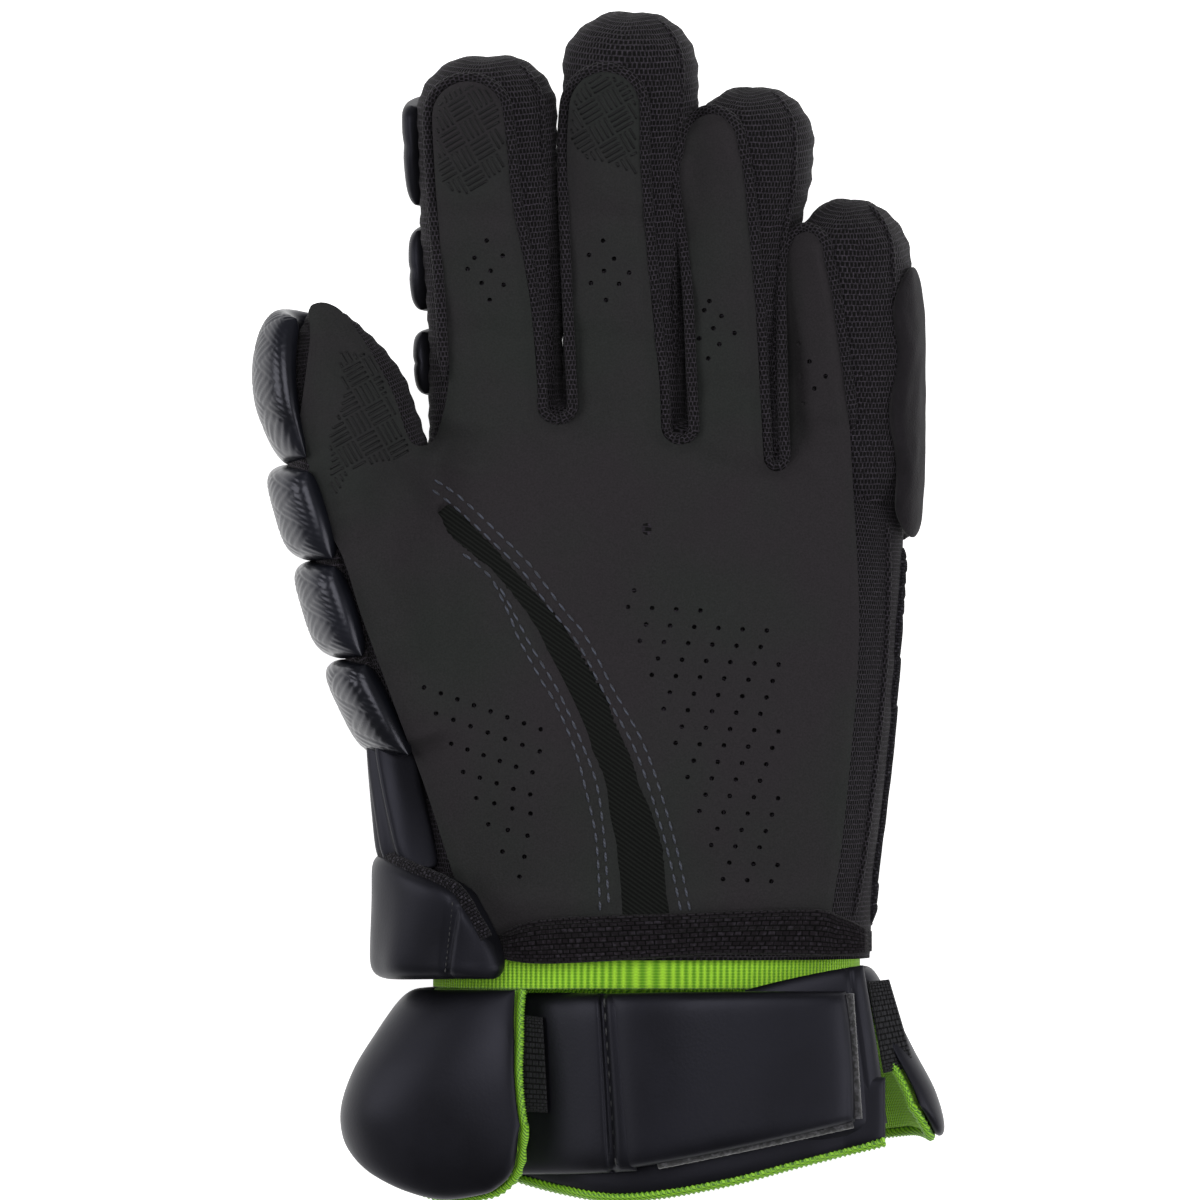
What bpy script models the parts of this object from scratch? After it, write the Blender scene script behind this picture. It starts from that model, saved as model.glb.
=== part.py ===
"""A left-hand lacrosse glove lying on its back, palm up.

The frame is in metres: +Z comes up out of the palm, +Y points to the fingertips and the thumb is on the -X
side. The glove rests on the flattened pads of the back of the hand at z = 0.

The hand and the five fingers are hollow tubes that follow section tables. The leather palm is the skin of
those tubes inside the palm's cut outline. Pads, cuff and straps are slabs laid over the same surfaces.
"""

from math import acos, cos, exp, pi, radians, sin, sqrt

import bmesh
import bpy
from mathutils import Matrix, Vector

# Clearances and material thicknesses
SEAM_GAP = 0.0003
PAD_GAP = 0.0006
MESH_WALL = 0.0022
LEATHER = 0.0013
LINING = 0.0012
WEBBING = 0.0018

# The hand, measured without its pads
PALM_WIDTH = 0.136
PALM_LENGTH = 0.148
HAND_DEPTH = 0.043
PALM_CENTRE_X = 0.0155
WRIST_Y = -0.100
HAND_FLOOR = 0.0145

# Fingers and thumb
FINGER_WIDTH = 0.036
FINGER_DEPTH = 0.030
FINGER_FLOOR = 0.0205
CURL_LIFT = 0.012
INDEX_LENGTH = 0.105
MIDDLE_LENGTH = 0.1185
RING_LENGTH = 0.1025
PINKY_LENGTH = 0.0785
THUMB_LENGTH = 0.134
THUMB_WIDTH = 0.034
THUMB_DEPTH = 0.030
THUMB_RISE = 0.004
THUMB_LIFT = 0.006

# Padding
FINGER_PAD = 0.0115
BACK_PAD = 0.0165
THUMB_PAD = 0.0100
SIDE_PAD = 0.0110
WRAP_PAD = 0.0100
EDGE_PAD = 0.0080
PAD_SPACE = 0.0022

# Cuff and closure
CUFF_WALL = 0.0075
CUFF_WIDTH = 0.168
CUFF_LENGTH = 0.0585
CUFF_DEPTH = 0.064
CUFF_CENTRE_X = 0.0095
CUFF_START = 0.0083
CUFF_SLANT = 0.115
CUFF_CLEARANCE = 0.0026
STRAP_FOAM = 0.0062
STRAP_LENGTH = 0.098
STRAP_HEIGHT = 0.0560
HEM_WIDTH = 0.0125
HEM_FOAM = 0.0028

# How finely each form is drawn
FINGER_SIDES = 12
HAND_SIDES = 20
BODY_STATIONS = (0.0, 0.22, 0.44, 0.64, 0.83, 1.0)
CAP_ANGLES = (26.0, 50.0, 72.0)

# How far a cutter runs out past the end that it opens
OPEN_END = 0.010

# Hand sections from wrist to knuckles: shares of the palm's length, width (from its centre) and depth.
# slant is how far the section leans towards the fingertips per metre across.
HAND_SECTIONS = (
    # along, left, right, floor, roof, slant
    (0.000, -0.482, 0.440, 0.02, 0.98, 0.00),
    (0.170, -0.482, 0.450, 0.00, 1.03, 0.00),
    (0.405, -0.504, 0.480, 0.00, 1.06, 0.00),
    (0.670, -0.518, 0.500, 0.00, 1.02, -0.02),
    (0.850, -0.492, 0.510, 0.01, 0.95, -0.08),
    (0.960, -0.462, 0.506, 0.03, 0.87, -0.13),
    (1.010, -0.430, 0.485, 0.14, 0.75, -0.15),
)
HAND_SQUARENESS = 2.7

# Mounds of the palm: place and spread as shares of the palm's width and length, height as a share of depth
PALM_MOUNDS = (
    # across, along, height, spread
    (-0.30, 0.42, 0.10, 0.26),
    (0.30, 0.30, 0.06, 0.24),
    (-0.02, 0.62, -0.10, 0.22),
)

# Fingers: the base point in shares of the palm's width and length, how far the finger leans across per metre,
# its roll in degrees, the lift of its tip as a share of the curl, and two tables. Each row of sections holds
# a share of the length, then the sideways shift and the width as shares of a finger's width. strip holds the
# same for the leather strip, which ends at the share called end.
FINGERS = {
    "index": dict(across=-0.326, along=0.995, lean=-0.035, length=INDEX_LENGTH, roll=9.0, lift=0.85,
                  sections=((0.0, 0.0, 0.99), (1.0, 0.0, 1.06)), end=0.93,
                  strip=((0.106, -0.025, 0.683), (0.62, -0.120, 0.592), (0.83, -0.150, 0.567))),
    "middle": dict(across=-0.066, along=0.985, lean=0.010, length=MIDDLE_LENGTH, roll=12.0, lift=1.15,
                   sections=((0.0, 0.0, 0.93), (0.6, 0.0, 0.94), (0.8, 0.02, 1.00)), end=0.86,
                   strip=((0.106, -0.055, 0.644), (0.56, -0.160, 0.583), (0.75, -0.180, 0.544))),
    "ring": dict(across=0.165, along=0.955, lean=0.010, length=RING_LENGTH, roll=14.0, lift=0.95,
                 sections=((0.0, 0.0, 0.745), (0.45, 0.0, 0.76), (0.60, 0.040, 0.82), (0.75, 0.085, 0.89)),
                 end=0.925, strip=((0.166, -0.067, 0.489), (0.475, -0.136, 0.483), (0.74, -0.240, 0.506))),
    "pinky": dict(across=0.400, along=0.905, lean=-0.005, length=PINKY_LENGTH, roll=15.0, lift=0.80,
                  sections=((0.0, 0.0, 0.90), (0.7, 0.015, 0.87), (1.0, 0.0, 0.82)), end=0.885,
                  strip=((0.0, -0.205, 0.483), (0.31, -0.247, 0.458), (0.715, -0.305, 0.342))),
}
# The thumb holds the same, and taper is how fast its tip narrows
THUMB = dict(across=-0.405, along=0.370, lean=-0.31, roll=-24.0, taper=1.7,
             sections=((0.0, 0.06, 0.86), (0.20, 0.0, 1.00), (0.35, 0.0, 1.03), (0.75, 0.0, 0.94)))
FINGER_SQUARENESS = 2.4
CUFF_SQUARENESS = 2.5
FINGER_CAP = 0.0155
THUMB_CAP = 0.034

# Pads on each finger's back: start and end in stations, where 1 is the foot of the rounded tip
FINGER_PADS = (
    # name, start, end
    ("base", 0.12, 0.34),
    ("mid", 0.38, 0.66),
    ("tip", 0.70, 1.12),
)
FINGER_PAD_REACH = {
    # the arc in degrees that the pads cover round the back of each finger, and how much they spread sideways
    "index": (165, 315, 0.50),
    "middle": (225, 315, 0.05),
    "ring": (225, 315, 0.05),
    "pinky": (225, 315, 0.20),
}

# The panel on the little finger's outer side, in stations of that finger
EDGE_PANEL_RUN = (-0.06, 0.96)

# Outline of the palm leather, as shares of the palm's width (from its centre) and length (from the wrist)
PALM_OUTLINE = (
    # across, along
    (-0.364, 0.062), (-0.416, 0.150), (-0.467, 0.300), (-0.508, 0.405), (-0.580, 0.584),
    (-0.642, 0.754), (-0.683, 0.830), (-0.729, 0.943), (-0.735, 1.000), (-0.729, 1.057),
    (-0.712, 1.169), (-0.714, 1.300), (-0.585, 1.300), (-0.500, 1.010), (-0.492, 0.968), (-0.440, 0.982),
    (-0.150, 0.986), (0.110, 0.958), (0.292, 0.900), (0.405, 0.905), (0.414, 0.680),
    (0.398, 0.395), (0.374, 0.190), (0.352, 0.096), (0.250, 0.094), (0.020, 0.092), (-0.260, 0.092),
    (-0.300, 0.072),
)

# Crease opening of the palm along the ball of the thumb: centre line and half width, same shares
CREASE_LINE = (
    # across, along, half width
    (-0.440, 0.850, 0.004), (-0.376, 0.780, 0.018), (-0.300, 0.700, 0.022), (-0.226, 0.600, 0.028),
    (-0.160, 0.480, 0.032), (-0.102, 0.350, 0.036), (-0.058, 0.220, 0.042), (-0.034, 0.105, 0.047),
)
CREASE_CLEARANCE = 0.0004

# How far down the sides the leather reaches: shares of the hand's depth and of a finger's
PALM_SKIRT = 0.511
STRIP_SKIRT = 0.733

# Pads on the back of the hand: rows in shares of the palm's length, columns in shares of half its width
BACK_ROWS = (
    # name, start, end, edges of the columns
    ("knuckle", 0.780, 0.905, (-0.76, -0.38, 0.02, 0.42, 0.80)),
    ("upper", 0.590, 0.765, (-0.78, -0.38, 0.02, 0.44, 0.86)),
    ("middle", 0.395, 0.575, (-0.80, -0.28, 0.30, 0.86)),
    ("lower", 0.175, 0.380, (-0.82, 0.02, 0.86)),
)

# Round the wrist: runs in shares of the palm's length from the wrist, and arcs in degrees round the hand
WRAP_RUN = (-0.051, 0.178)
WRAP_ARC = (118.0, 232.0)
WRIST_PAD_RUN = (-0.014, 0.158)
WRIST_PAD_ARC = (236.0, 322.0)
HEM_END = 0.083
HEM_ARC = (114.0, 24.0)

# Pads along the outside of the thumb: start and end stations, and the arc that they cover
THUMB_PAD_SKEW = 0.30
THUMB_PADS = (
    # name, start, end, from angle, to angle, share of the pad's thickness
    ("tip", 0.885, 1.62, 165, 285, 0.62),
    ("upper", 0.605, 0.865, 165, 285, 0.95),
    ("middle", 0.318, 0.585, 165, 285, 0.95),
    ("lower", 0.125, 0.298, 165, 255, 1.00),
)

# The smooth panel below the thumb: its run along the hand, and its arc from the palm's edge to the back
SIDE_PANEL_RUN = (0.185, 0.338)
SIDE_PANEL_ARC = (149.0, 166.0, 206.0)

# Cuff sections from the wrist out: shares of the cuff's length, width and depth, from its centre and floor
CUFF_SECTIONS = (
    # along, left, right, floor, roof, lean of the open side outwards
    (0.00, -0.384, 0.385, 0.060, 0.960, 0.08),
    (0.20, -0.432, 0.412, 0.036, 0.990, 0.10),
    (0.40, -0.474, 0.442, 0.028, 1.010, 0.12),
    (0.60, -0.494, 0.474, 0.024, 1.010, 0.14),
    (0.80, -0.482, 0.490, 0.020, 1.000, 0.15),
    (1.00, -0.450, 0.490, 0.020, 0.980, 0.16),
)
CUFF_LAP = (
    # along, the angle at which the thumb-side lobe ends over the wrist
    (0.00, 118.5), (0.30, 111.5), (0.60, 108.5), (1.00, 108.5),
)
CUFF_ARC = (110.5, 384.0)
CUFF_BEGIN = (
    # angle, how far from the wrist the cuff begins there, as a share of its start
    (110.0, 1.0), (236.0, 1.0), (262.0, 0.35), (320.0, 0.35), (350.0, 1.0), (390.0, 1.0),
)
CUFF_STEPS = (18, 5)
CUFF_SLIM = 0.40
CUFF_END = (
    # angle, where the cuff ends there as a share of its length
    (110.5, 0.64), (114.0, 0.84), (120.0, 0.945), (126.0, 0.98), (137.0, 1.00), (148.0, 0.97),
    (162.0, 0.90), (180.0, 0.80), (205.0, 0.86), (238.0, 0.97), (270.0, 0.915), (310.0, 0.86),
    (345.0, 0.80), (372.0, 0.80), (384.0, 0.66),
)

# The wrist strap across the wrist: height as a share of the cuff's depth, edges as shares of its height
STRAP_SECTIONS = (
    # across, height, near edge, far edge
    (0.00, 0.560, 0.000, 0.950), (0.12, 0.690, 0.000, 0.955), (0.29, 0.870, 0.010, 0.950),
    (0.50, 0.985, 0.010, 0.930), (0.72, 1.000, 0.000, 0.890), (0.88, 0.970, -0.010, 0.850),
    (1.00, 0.930, 0.000, 0.820),
)
STRAP_LEFT_X = CUFF_CENTRE_X - 0.2351 * CUFF_WIDTH
STRAP_LEAN = 0.06
STRAP_TOP = 0.0075
STRAP_SEAM = 0.29

# The panel that the strap closes on: across as a share of its own length, the rest as for the strap
PANEL_SECTIONS = (
    # across, height, near edge, far edge
    (0.00, 0.900, 0.020, 0.860), (0.35, 0.905, -0.060, 0.850), (0.70, 0.880, -0.110, 0.820),
    (0.88, 0.845, -0.110, 0.810), (1.00, 0.800, -0.080, 0.780),
)
PANEL_LEFT_X = CUFF_CENTRE_X + 0.1696 * CUFF_WIDTH
PANEL_LENGTH = 0.035
PANEL_LEAN = 0.12
PANEL_FOAM = 0.0040

# Elastic loops: where they run along the cuff, as shares of the strap's height, and their ends
ELASTIC_RUN = (0.18, 0.64)
ELASTIC_LEFT_X = (STRAP_LEFT_X - 0.0015, STRAP_LEFT_X + 0.0135)
ELASTIC_TUCK = 0.96


def clear_scene():
    for old in list(bpy.data.objects):
        bpy.data.objects.remove(old)


def material(name, colour, roughness, metallic=0.0):
    """A plain Principled material of that colour."""
    made = bpy.data.materials.new(name)
    made.use_nodes = True
    shader = made.node_tree.nodes["Principled BSDF"]
    shader.inputs["Base Color"].default_value = (*colour, 1.0)
    shader.inputs["Roughness"].default_value = roughness
    shader.inputs["Metallic"].default_value = metallic
    return made


def object_from(name, bm, finish=None):
    """The bmesh as a named object, its faces turned outwards."""
    bmesh.ops.recalc_face_normals(bm, faces=bm.faces)
    mesh = bpy.data.meshes.new(name)
    bm.to_mesh(mesh)
    bm.free()
    made = bpy.data.objects.new(name, mesh)
    bpy.context.scene.collection.objects.link(made)
    if finish:
        made.data.materials.append(finish)
        made.data.shade_smooth()
        made.data.set_sharp_from_angle(angle=radians(50))
    return made


def interpolate(rows, key):
    """The row of a table at key, which is its first column, with straight lines between the rows."""
    if key <= rows[0][0]:
        return rows[0][1:]
    for low, high in zip(rows, rows[1:]):
        if key <= high[0]:
            share = (key - low[0]) / (high[0] - low[0])
            return tuple(a + (b - a) * share for a, b in zip(low[1:], high[1:]))
    return rows[-1][1:]


def squared(value, squareness):
    """cos or sin bent so that a circle becomes a rounder square."""
    return (1 if value >= 0 else -1) * abs(value) ** (2 / squareness)


def palm_point(across, along, height=0.0):
    """A point at shares of the palm's width, from its centre, and length, from the wrist."""
    return Vector((PALM_CENTRE_X + across * PALM_WIDTH, WRIST_Y + along * PALM_LENGTH, height))


def palm_relief(x, y):
    """How much the palm stands up or dips at a place, in metres."""
    rise = 0.0
    for across, along, height, spread in PALM_MOUNDS:
        centre = palm_point(across, along)
        reach = spread * PALM_WIDTH
        rise += height * HAND_DEPTH * exp(-((x - centre.x) ** 2 + (y - centre.y) ** 2) / reach**2)
    return rise


def hand_point(along, angle, grow=0.0):
    """A point of the hand's surface: a share of the palm's length, and an angle round the section."""
    left, right, floor, roof, slant = interpolate(HAND_SECTIONS, along)
    x0 = PALM_CENTRE_X + left * PALM_WIDTH - grow
    x1 = PALM_CENTRE_X + right * PALM_WIDTH + grow
    z0 = HAND_FLOOR + floor * HAND_DEPTH - grow
    z1 = HAND_FLOOR + roof * HAND_DEPTH + grow
    x = (x0 + x1) / 2 + (x1 - x0) / 2 * squared(cos(angle), HAND_SQUARENESS)
    z = (z0 + z1) / 2 + (z1 - z0) / 2 * squared(sin(angle), HAND_SQUARENESS)
    y = WRIST_Y + along * PALM_LENGTH + slant * (x - PALM_CENTRE_X)
    if sin(angle) > 0:
        z += palm_relief(x, y) * sin(angle)
    return Vector((x, y, z))


class Finger:
    """A finger tube: a straight run along a slightly lifting line, then a rounded tip."""

    def __init__(self, base, lean, length, width, sections, depth, cap, roll, lift, taper=1.0):
        self.base = base
        self.way = Vector((lean, 1.0, 0.0)).normalized()
        self.side = self.way.cross(Vector((0, 0, 1)))
        self.length = length
        self.width = width
        self.sections = sections
        self.depth = depth
        self.cap = cap
        self.roll = radians(roll)
        self.lift = lift
        self.taper = taper

    def point(self, station, angle, grow=0.0, spread=1.0):
        """A point of the surface. Stations 0 to 1 are the straight run, and 1 to 2 the rounded tip.

        spread is how much of the growth goes sideways.
        """
        swell = max(0.0, station - 1.0) * pi / 2
        along = min(station, 1.0) * (self.length - self.cap) + (self.cap + grow) * sin(swell)
        share = along / self.length
        shift, width = interpolate(self.sections, share)
        shrink = max(0.0, cos(swell)) ** self.taper
        half = width * self.width / 2 * shrink + grow * spread * cos(swell)
        across = half * squared(cos(angle), FINGER_SQUARENESS)
        up = (self.depth / 2 * shrink + grow * cos(swell)) * squared(sin(angle), FINGER_SQUARENESS)
        sideways = across * cos(self.roll) - up * sin(self.roll)
        upwards = across * sin(self.roll) + up * cos(self.roll)
        centre = self.base + self.way * along + Vector((0, 0, self.lift * share * share))
        centre += self.side * shift * self.width
        tilt = Vector((0, 0, 1)) - self.way * (2 * self.lift * share / self.length)
        return centre + self.side * sideways + tilt.normalized() * upwards


def finger_forms():
    """The five finger tubes, by name."""
    forms = {}
    for name, row in FINGERS.items():
        base = palm_point(row["across"], row["along"], FINGER_FLOOR + FINGER_DEPTH / 2)
        forms[name] = Finger(
            base, row["lean"], row["length"], FINGER_WIDTH, row["sections"], FINGER_DEPTH, FINGER_CAP,
            row["roll"], row["lift"] * CURL_LIFT)
    thumb_base = palm_point(THUMB["across"], THUMB["along"], FINGER_FLOOR + THUMB_DEPTH / 2 + THUMB_RISE)
    forms["thumb"] = Finger(
        thumb_base, THUMB["lean"], THUMB_LENGTH, THUMB_WIDTH, THUMB["sections"], THUMB_DEPTH, THUMB_CAP,
        THUMB["roll"], THUMB_LIFT, THUMB["taper"])
    return forms


FORMS = finger_forms()
FINGER_ROOT = -0.20
THUMB_ROOT = 0.0


def skin(rings, start_cap=True, tip=None):
    """A bmesh of closed rings joined in order, with its ends closed."""
    bm = bmesh.new()
    loops = [[bm.verts.new(p) for p in ring] for ring in rings]
    for near, far in zip(loops, loops[1:]):
        for i in range(len(near)):
            j = (i + 1) % len(near)
            bm.faces.new((near[i], near[j], far[j], far[i]))
    if start_cap:
        bm.faces.new(loops[0])
    if tip is None:
        bm.faces.new(loops[-1])
    else:
        pole = bm.verts.new(tip)
        for i in range(len(loops[-1])):
            bm.faces.new((loops[-1][i], loops[-1][(i + 1) % len(loops[-1])], pole))
    bmesh.ops.triangulate(bm, faces=[f for f in bm.faces if len(f.verts) == 4], quad_method="FIXED")
    return bm


def finger_solid(name, grow):
    """One finger as a plain solid, grown or shrunk, from inside the hand to its tip.

    Any but the plain one starts a little further back, so that no two end in one plane.
    """
    form = FORMS[name]
    turns = [2 * pi * (i + 0.5) / FINGER_SIDES for i in range(FINGER_SIDES)]
    root = FINGER_ROOT if name != "thumb" else THUMB_ROOT
    stations = [root - (0.06 if grow < 0 else 2 * grow / form.length)]
    stations += [s for s in BODY_STATIONS if s > root]
    stations += [1 + a / 90 for a in CAP_ANGLES]
    rings = [[form.point(s, turn, grow) for turn in turns] for s in stations]
    return object_from(name + "_form", skin(rings, tip=form.point(2.0, 0.0, grow)))


def hand_solid(grow, open_length=0.0):
    """The hand as a plain solid, grown or shrunk. open_length pushes its wrist end out."""
    turns = [2 * pi * (i + 0.5) / HAND_SIDES for i in range(HAND_SIDES)]
    rings = []
    for along in [row[0] for row in HAND_SECTIONS]:
        rings.append([hand_point(along, turn, grow) for turn in turns])
    for point in rings[0]:
        point.y -= open_length
    if grow:
        for point in rings[-1]:
            point.y += grow
    middle = sum(rings[-1], Vector()) / len(turns)
    return object_from("hand_form", skin(rings, tip=middle))


def combine(target, tool, operation):
    """Adds a Boolean to target. The tool is then only a cutter."""
    step = target.modifiers.new(operation.lower(), "BOOLEAN")
    step.operation = operation
    step.solver = "EXACT"
    step.object = tool
    tool.hide_render = True
    tool.display_type = "WIRE"
    return target


def baked(name, source, finish=None):
    """A new object holding what the source's modifiers make, and the source put away."""
    bpy.context.view_layer.update()
    graph = bpy.context.evaluated_depsgraph_get()
    mesh = bpy.data.meshes.new_from_object(source.evaluated_get(graph))
    source.hide_render = True
    source.display_type = "WIRE"
    made = bpy.data.objects.new(name, mesh)
    bpy.context.scene.collection.objects.link(made)
    made.data.materials.clear()
    if finish:
        made.data.materials.append(finish)
        made.data.shade_smooth()
        made.data.set_sharp_from_angle(angle=radians(40))
    return made


def whole_glove(grow, open_length=0.0):
    """Hand and fingers joined into one plain solid."""
    body = hand_solid(grow, open_length)
    for name in FORMS:
        combine(body, finger_solid(name, grow), "UNION")
    return baked("whole_form", body)


def prism(name, outline, low, high):
    """An upright prism over a plan outline."""
    bm = bmesh.new()
    face = bm.faces.new([bm.verts.new((x, y, low)) for x, y in outline])
    risen = bmesh.ops.extrude_face_region(bm, geom=[face])
    top = [item for item in risen["geom"] if isinstance(item, bmesh.types.BMVert)]
    bmesh.ops.translate(bm, vec=(0, 0, high - low), verts=top)
    return object_from(name, bm)


def strip_outline(name):
    """Plan outline of a finger's leather strip: tapered, with a round end."""
    row = FINGERS[name]
    form = FORMS[name]
    sides = []
    for along in (-0.08, *[cut[0] for cut in row["strip"]]):
        shift, width = interpolate(row["strip"], along)
        sides.append((along, shift * FINGER_WIDTH, width * FINGER_WIDTH / 2))
    along, shift, half = sides[-1]
    reach = (row["end"] - along) * form.length
    right = [(form.length * a, s + h) for a, s, h in sides]
    left = [(form.length * a, s - h) for a, s, h in reversed(sides)]
    round_end = []
    for step in range(1, 6):
        turn = pi * step / 6
        round_end.append((form.length * along + reach * sin(turn), shift + half * cos(turn)))
    points = []
    for forward, across in right + round_end + left:
        p = form.base + form.way * forward + form.side * across
        points.append((p.x, p.y))
    return points


def crease_outline(clearance):
    """Plan outline of the crease opening, drawn in by a clearance."""
    left, right = [], []
    for i, (across, along, half) in enumerate(CREASE_LINE):
        before = palm_point(*CREASE_LINE[max(0, i - 1)][:2])
        after = palm_point(*CREASE_LINE[min(len(CREASE_LINE) - 1, i + 1)][:2])
        way = (after - before).normalized()
        side = Vector((-way.y, way.x, 0))
        reach = max(half * PALM_WIDTH - clearance, 0.0002)
        centre = palm_point(across, along)
        if i in (0, len(CREASE_LINE) - 1):
            centre -= way * clearance * (1 if i else -1)
        left.append(tuple((centre + side * reach).xy))
        right.append(tuple((centre - side * reach).xy))
    return left + right[::-1]


def slab(name, surface, u_range, v_range, steps, thickness, finish, gap=PAD_GAP, floor=None):
    """A closed slab over part of a surface.

    surface(u, v, grow) gives a point that far outside the surface. The slab starts a gap outside it, and
    thickness(s, t) gives its depth at shares s and t of its length and width. With a floor, nothing of it
    goes lower than that height.
    """
    columns, rows = steps
    lower, upper = [], []
    for i in range(columns + 1):
        for j in range(rows + 1):
            s, t = i / columns, j / rows
            u = u_range[0] + (u_range[1] - u_range[0]) * s
            v = v_range[0] + (v_range[1] - v_range[0]) * t
            low = surface(u, v, gap)
            high = surface(u, v, gap + thickness(s, t))
            if floor is not None:
                high.z = max(high.z, floor)
            lower.append(low)
            upper.append(high)
    bm = bmesh.new()
    low_verts = [bm.verts.new(p) for p in lower]
    high_verts = [bm.verts.new(p) for p in upper]

    def at(i, j):
        return i * (rows + 1) + j

    for i in range(columns):
        for j in range(rows):
            a, b, c, d = at(i, j), at(i + 1, j), at(i + 1, j + 1), at(i, j + 1)
            for corners in ((a, b, c), (a, c, d)):
                bm.faces.new([high_verts[k] for k in corners])
                bm.faces.new([low_verts[k] for k in reversed(corners)])
    rim = [at(i, 0) for i in range(columns)] + [at(columns, j) for j in range(rows)]
    rim += [at(i, rows) for i in range(columns, 0, -1)] + [at(0, j) for j in range(rows, 0, -1)]
    for a, b in zip(rim, rim[1:] + rim[:1]):
        bm.faces.new((low_verts[a], low_verts[b], high_verts[b], high_verts[a]))
    return object_from(name, bm, finish)


def pillow(depth, edge=0.45):
    """A thickness that falls to a share of its depth at the edges."""

    def thickness(s, t):
        crown = sqrt(max(0.0, sin(pi * s)) * max(0.0, sin(pi * t)))
        return depth * (edge + (1 - edge) * crown)

    return thickness


def make_shells(finishes):
    """The hollow hand and its finger tubes, each open into the next."""
    hand = hand_solid(0.0)
    combine(hand, hand_solid(-MESH_WALL, OPEN_END), "DIFFERENCE")
    for name in FORMS:
        combine(hand, finger_solid(name, -MESH_WALL), "DIFFERENCE")
    baked("hand_shell", hand, finishes["shell"])
    for name in FORMS:
        tube = finger_solid(name, 0.0)
        combine(tube, finger_solid(name, -MESH_WALL), "DIFFERENCE")
        combine(tube, hand_solid(SEAM_GAP, OPEN_END), "DIFFERENCE")
        baked(name + ("_shell" if name == "thumb" else "_gusset"), tube, finishes["mesh"])


def make_palm(finishes):
    """The leather palm with its finger strips, and the woven strip in the crease."""
    low = HAND_FLOOR + PALM_SKIRT * HAND_DEPTH
    high = HAND_FLOOR + 2 * HAND_DEPTH
    strip_low = FINGER_FLOOR + STRIP_SKIRT * FINGER_DEPTH
    cut = prism("palm_cut", [tuple(palm_point(a, b).xy) for a, b in PALM_OUTLINE], low, high)
    for name in FINGERS:
        combine(cut, prism(name + "_strip_cut", strip_outline(name), strip_low, high), "UNION")
    combine(cut, prism("crease_cut", crease_outline(0.0), low - OPEN_END, high + OPEN_END), "DIFFERENCE")
    fill = prism("crease_fill", crease_outline(CREASE_CLEARANCE), low, high)
    inner = whole_glove(SEAM_GAP, 2 * OPEN_END)
    for name, body, depth, finish in (("palm_leather", cut, LEATHER, "leather"),
                                      ("crease_strip", fill, 0.7 * LEATHER, "woven")):
        body = baked(name + "_prism", body)
        combine(body, whole_glove(SEAM_GAP + depth), "INTERSECT")
        combine(body, inner, "DIFFERENCE")
        baked(name, body, finishes[finish])


def make_finger_pads(finishes):
    """Three foam pads down the back of each finger."""
    for name in FINGERS:
        form = FORMS[name]
        first, last, spread = FINGER_PAD_REACH[name]
        for part, start, end in FINGER_PADS:
            slab(
                f"{name}_pad_{part}",
                lambda u, v, grow, form=form, spread=spread: form.point(v, u, grow, spread),
                (radians(first), radians(last)), (start, end), ((last - first) // 30, 3),
                pillow(FINGER_PAD, 0.42), finishes["pad"])


def make_edge_panel(finishes):
    """The suede panel over the outer side of the little finger and its knuckle."""
    form = FORMS["pinky"]
    slab("pinky_side_panel", lambda u, v, grow: form.point(v, u, grow), (radians(-30), radians(30)),
         EDGE_PANEL_RUN, (4, 5), pillow(EDGE_PAD, 0.35), finishes["suede"])


def back_angle(share):
    """The angle round the hand's underside at a share of its half width."""
    return 2 * pi - acos((1 if share >= 0 else -1) * abs(share) ** (HAND_SQUARENESS / 2))


def make_back_pads(finishes):
    """Rows of pads over the back of the hand, flattened where the glove rests on them."""
    space = PAD_SPACE / PALM_LENGTH
    half_space = PAD_SPACE / PALM_WIDTH

    def under(u, v, grow):
        return hand_point(v, back_angle(u), grow)

    for row, start, end, edges in BACK_ROWS:
        for i, (left, right) in enumerate(zip(edges, edges[1:])):
            slab(
                f"back_pad_{row}_{i + 1}", under,
                (left + half_space, right - half_space), (start + space / 2, end - space / 2), (4, 3),
                pillow(BACK_PAD, 0.50), finishes["pad"], floor=0.0)


def on_hand(angle, along, grow):
    return hand_point(along, angle, grow)


def make_thumb_pads(finishes):
    """The thumb's cap and segments, along its outer side."""
    form = FORMS["thumb"]

    def outside(angle, station, grow):
        point = form.point(station, angle, grow)
        return point - form.way * (THUMB_PAD_SKEW * (point - form.base).dot(form.side))

    for part, start, end, first, last, share in THUMB_PADS:
        slab(
            f"thumb_pad_{part}", outside, (radians(first), radians(last)), (start, end),
            ((last - first) // 30, 4 if part == "tip" else 3), pillow(THUMB_PAD * share, 0.40),
            finishes["gloss_pad"], gap=PAD_GAP + LEATHER)


def make_wrist_pads(finishes):
    """The smooth side panel below the thumb, the wrap round the wrist and the pad across its back."""
    low, high = SIDE_PANEL_RUN
    from_low, from_high, to = SIDE_PANEL_ARC

    def side(share, along, grow):
        start = from_low + (from_high - from_low) * (along - low) / (high - low)
        return hand_point(along, radians(start + (to - start) * share), grow)

    slab("thumb_side_panel", side, (0.0, 1.0), SIDE_PANEL_RUN, (5, 3), pillow(SIDE_PAD, 0.62),
         finishes["smooth"], gap=2 * PAD_GAP)
    slab("wrist_wrap_pad", on_hand, [radians(a) for a in WRAP_ARC], WRAP_RUN, (8, 4),
         pillow(WRAP_PAD, 0.55), finishes["smooth"], gap=PAD_GAP + LEATHER + HEM_FOAM)
    slab("wrist_back_pad", on_hand, [radians(a) for a in WRIST_PAD_ARC], WRIST_PAD_RUN, (6, 3),
         pillow(0.8 * BACK_PAD, 0.60), finishes["smooth"], floor=SEAM_GAP)


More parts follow.
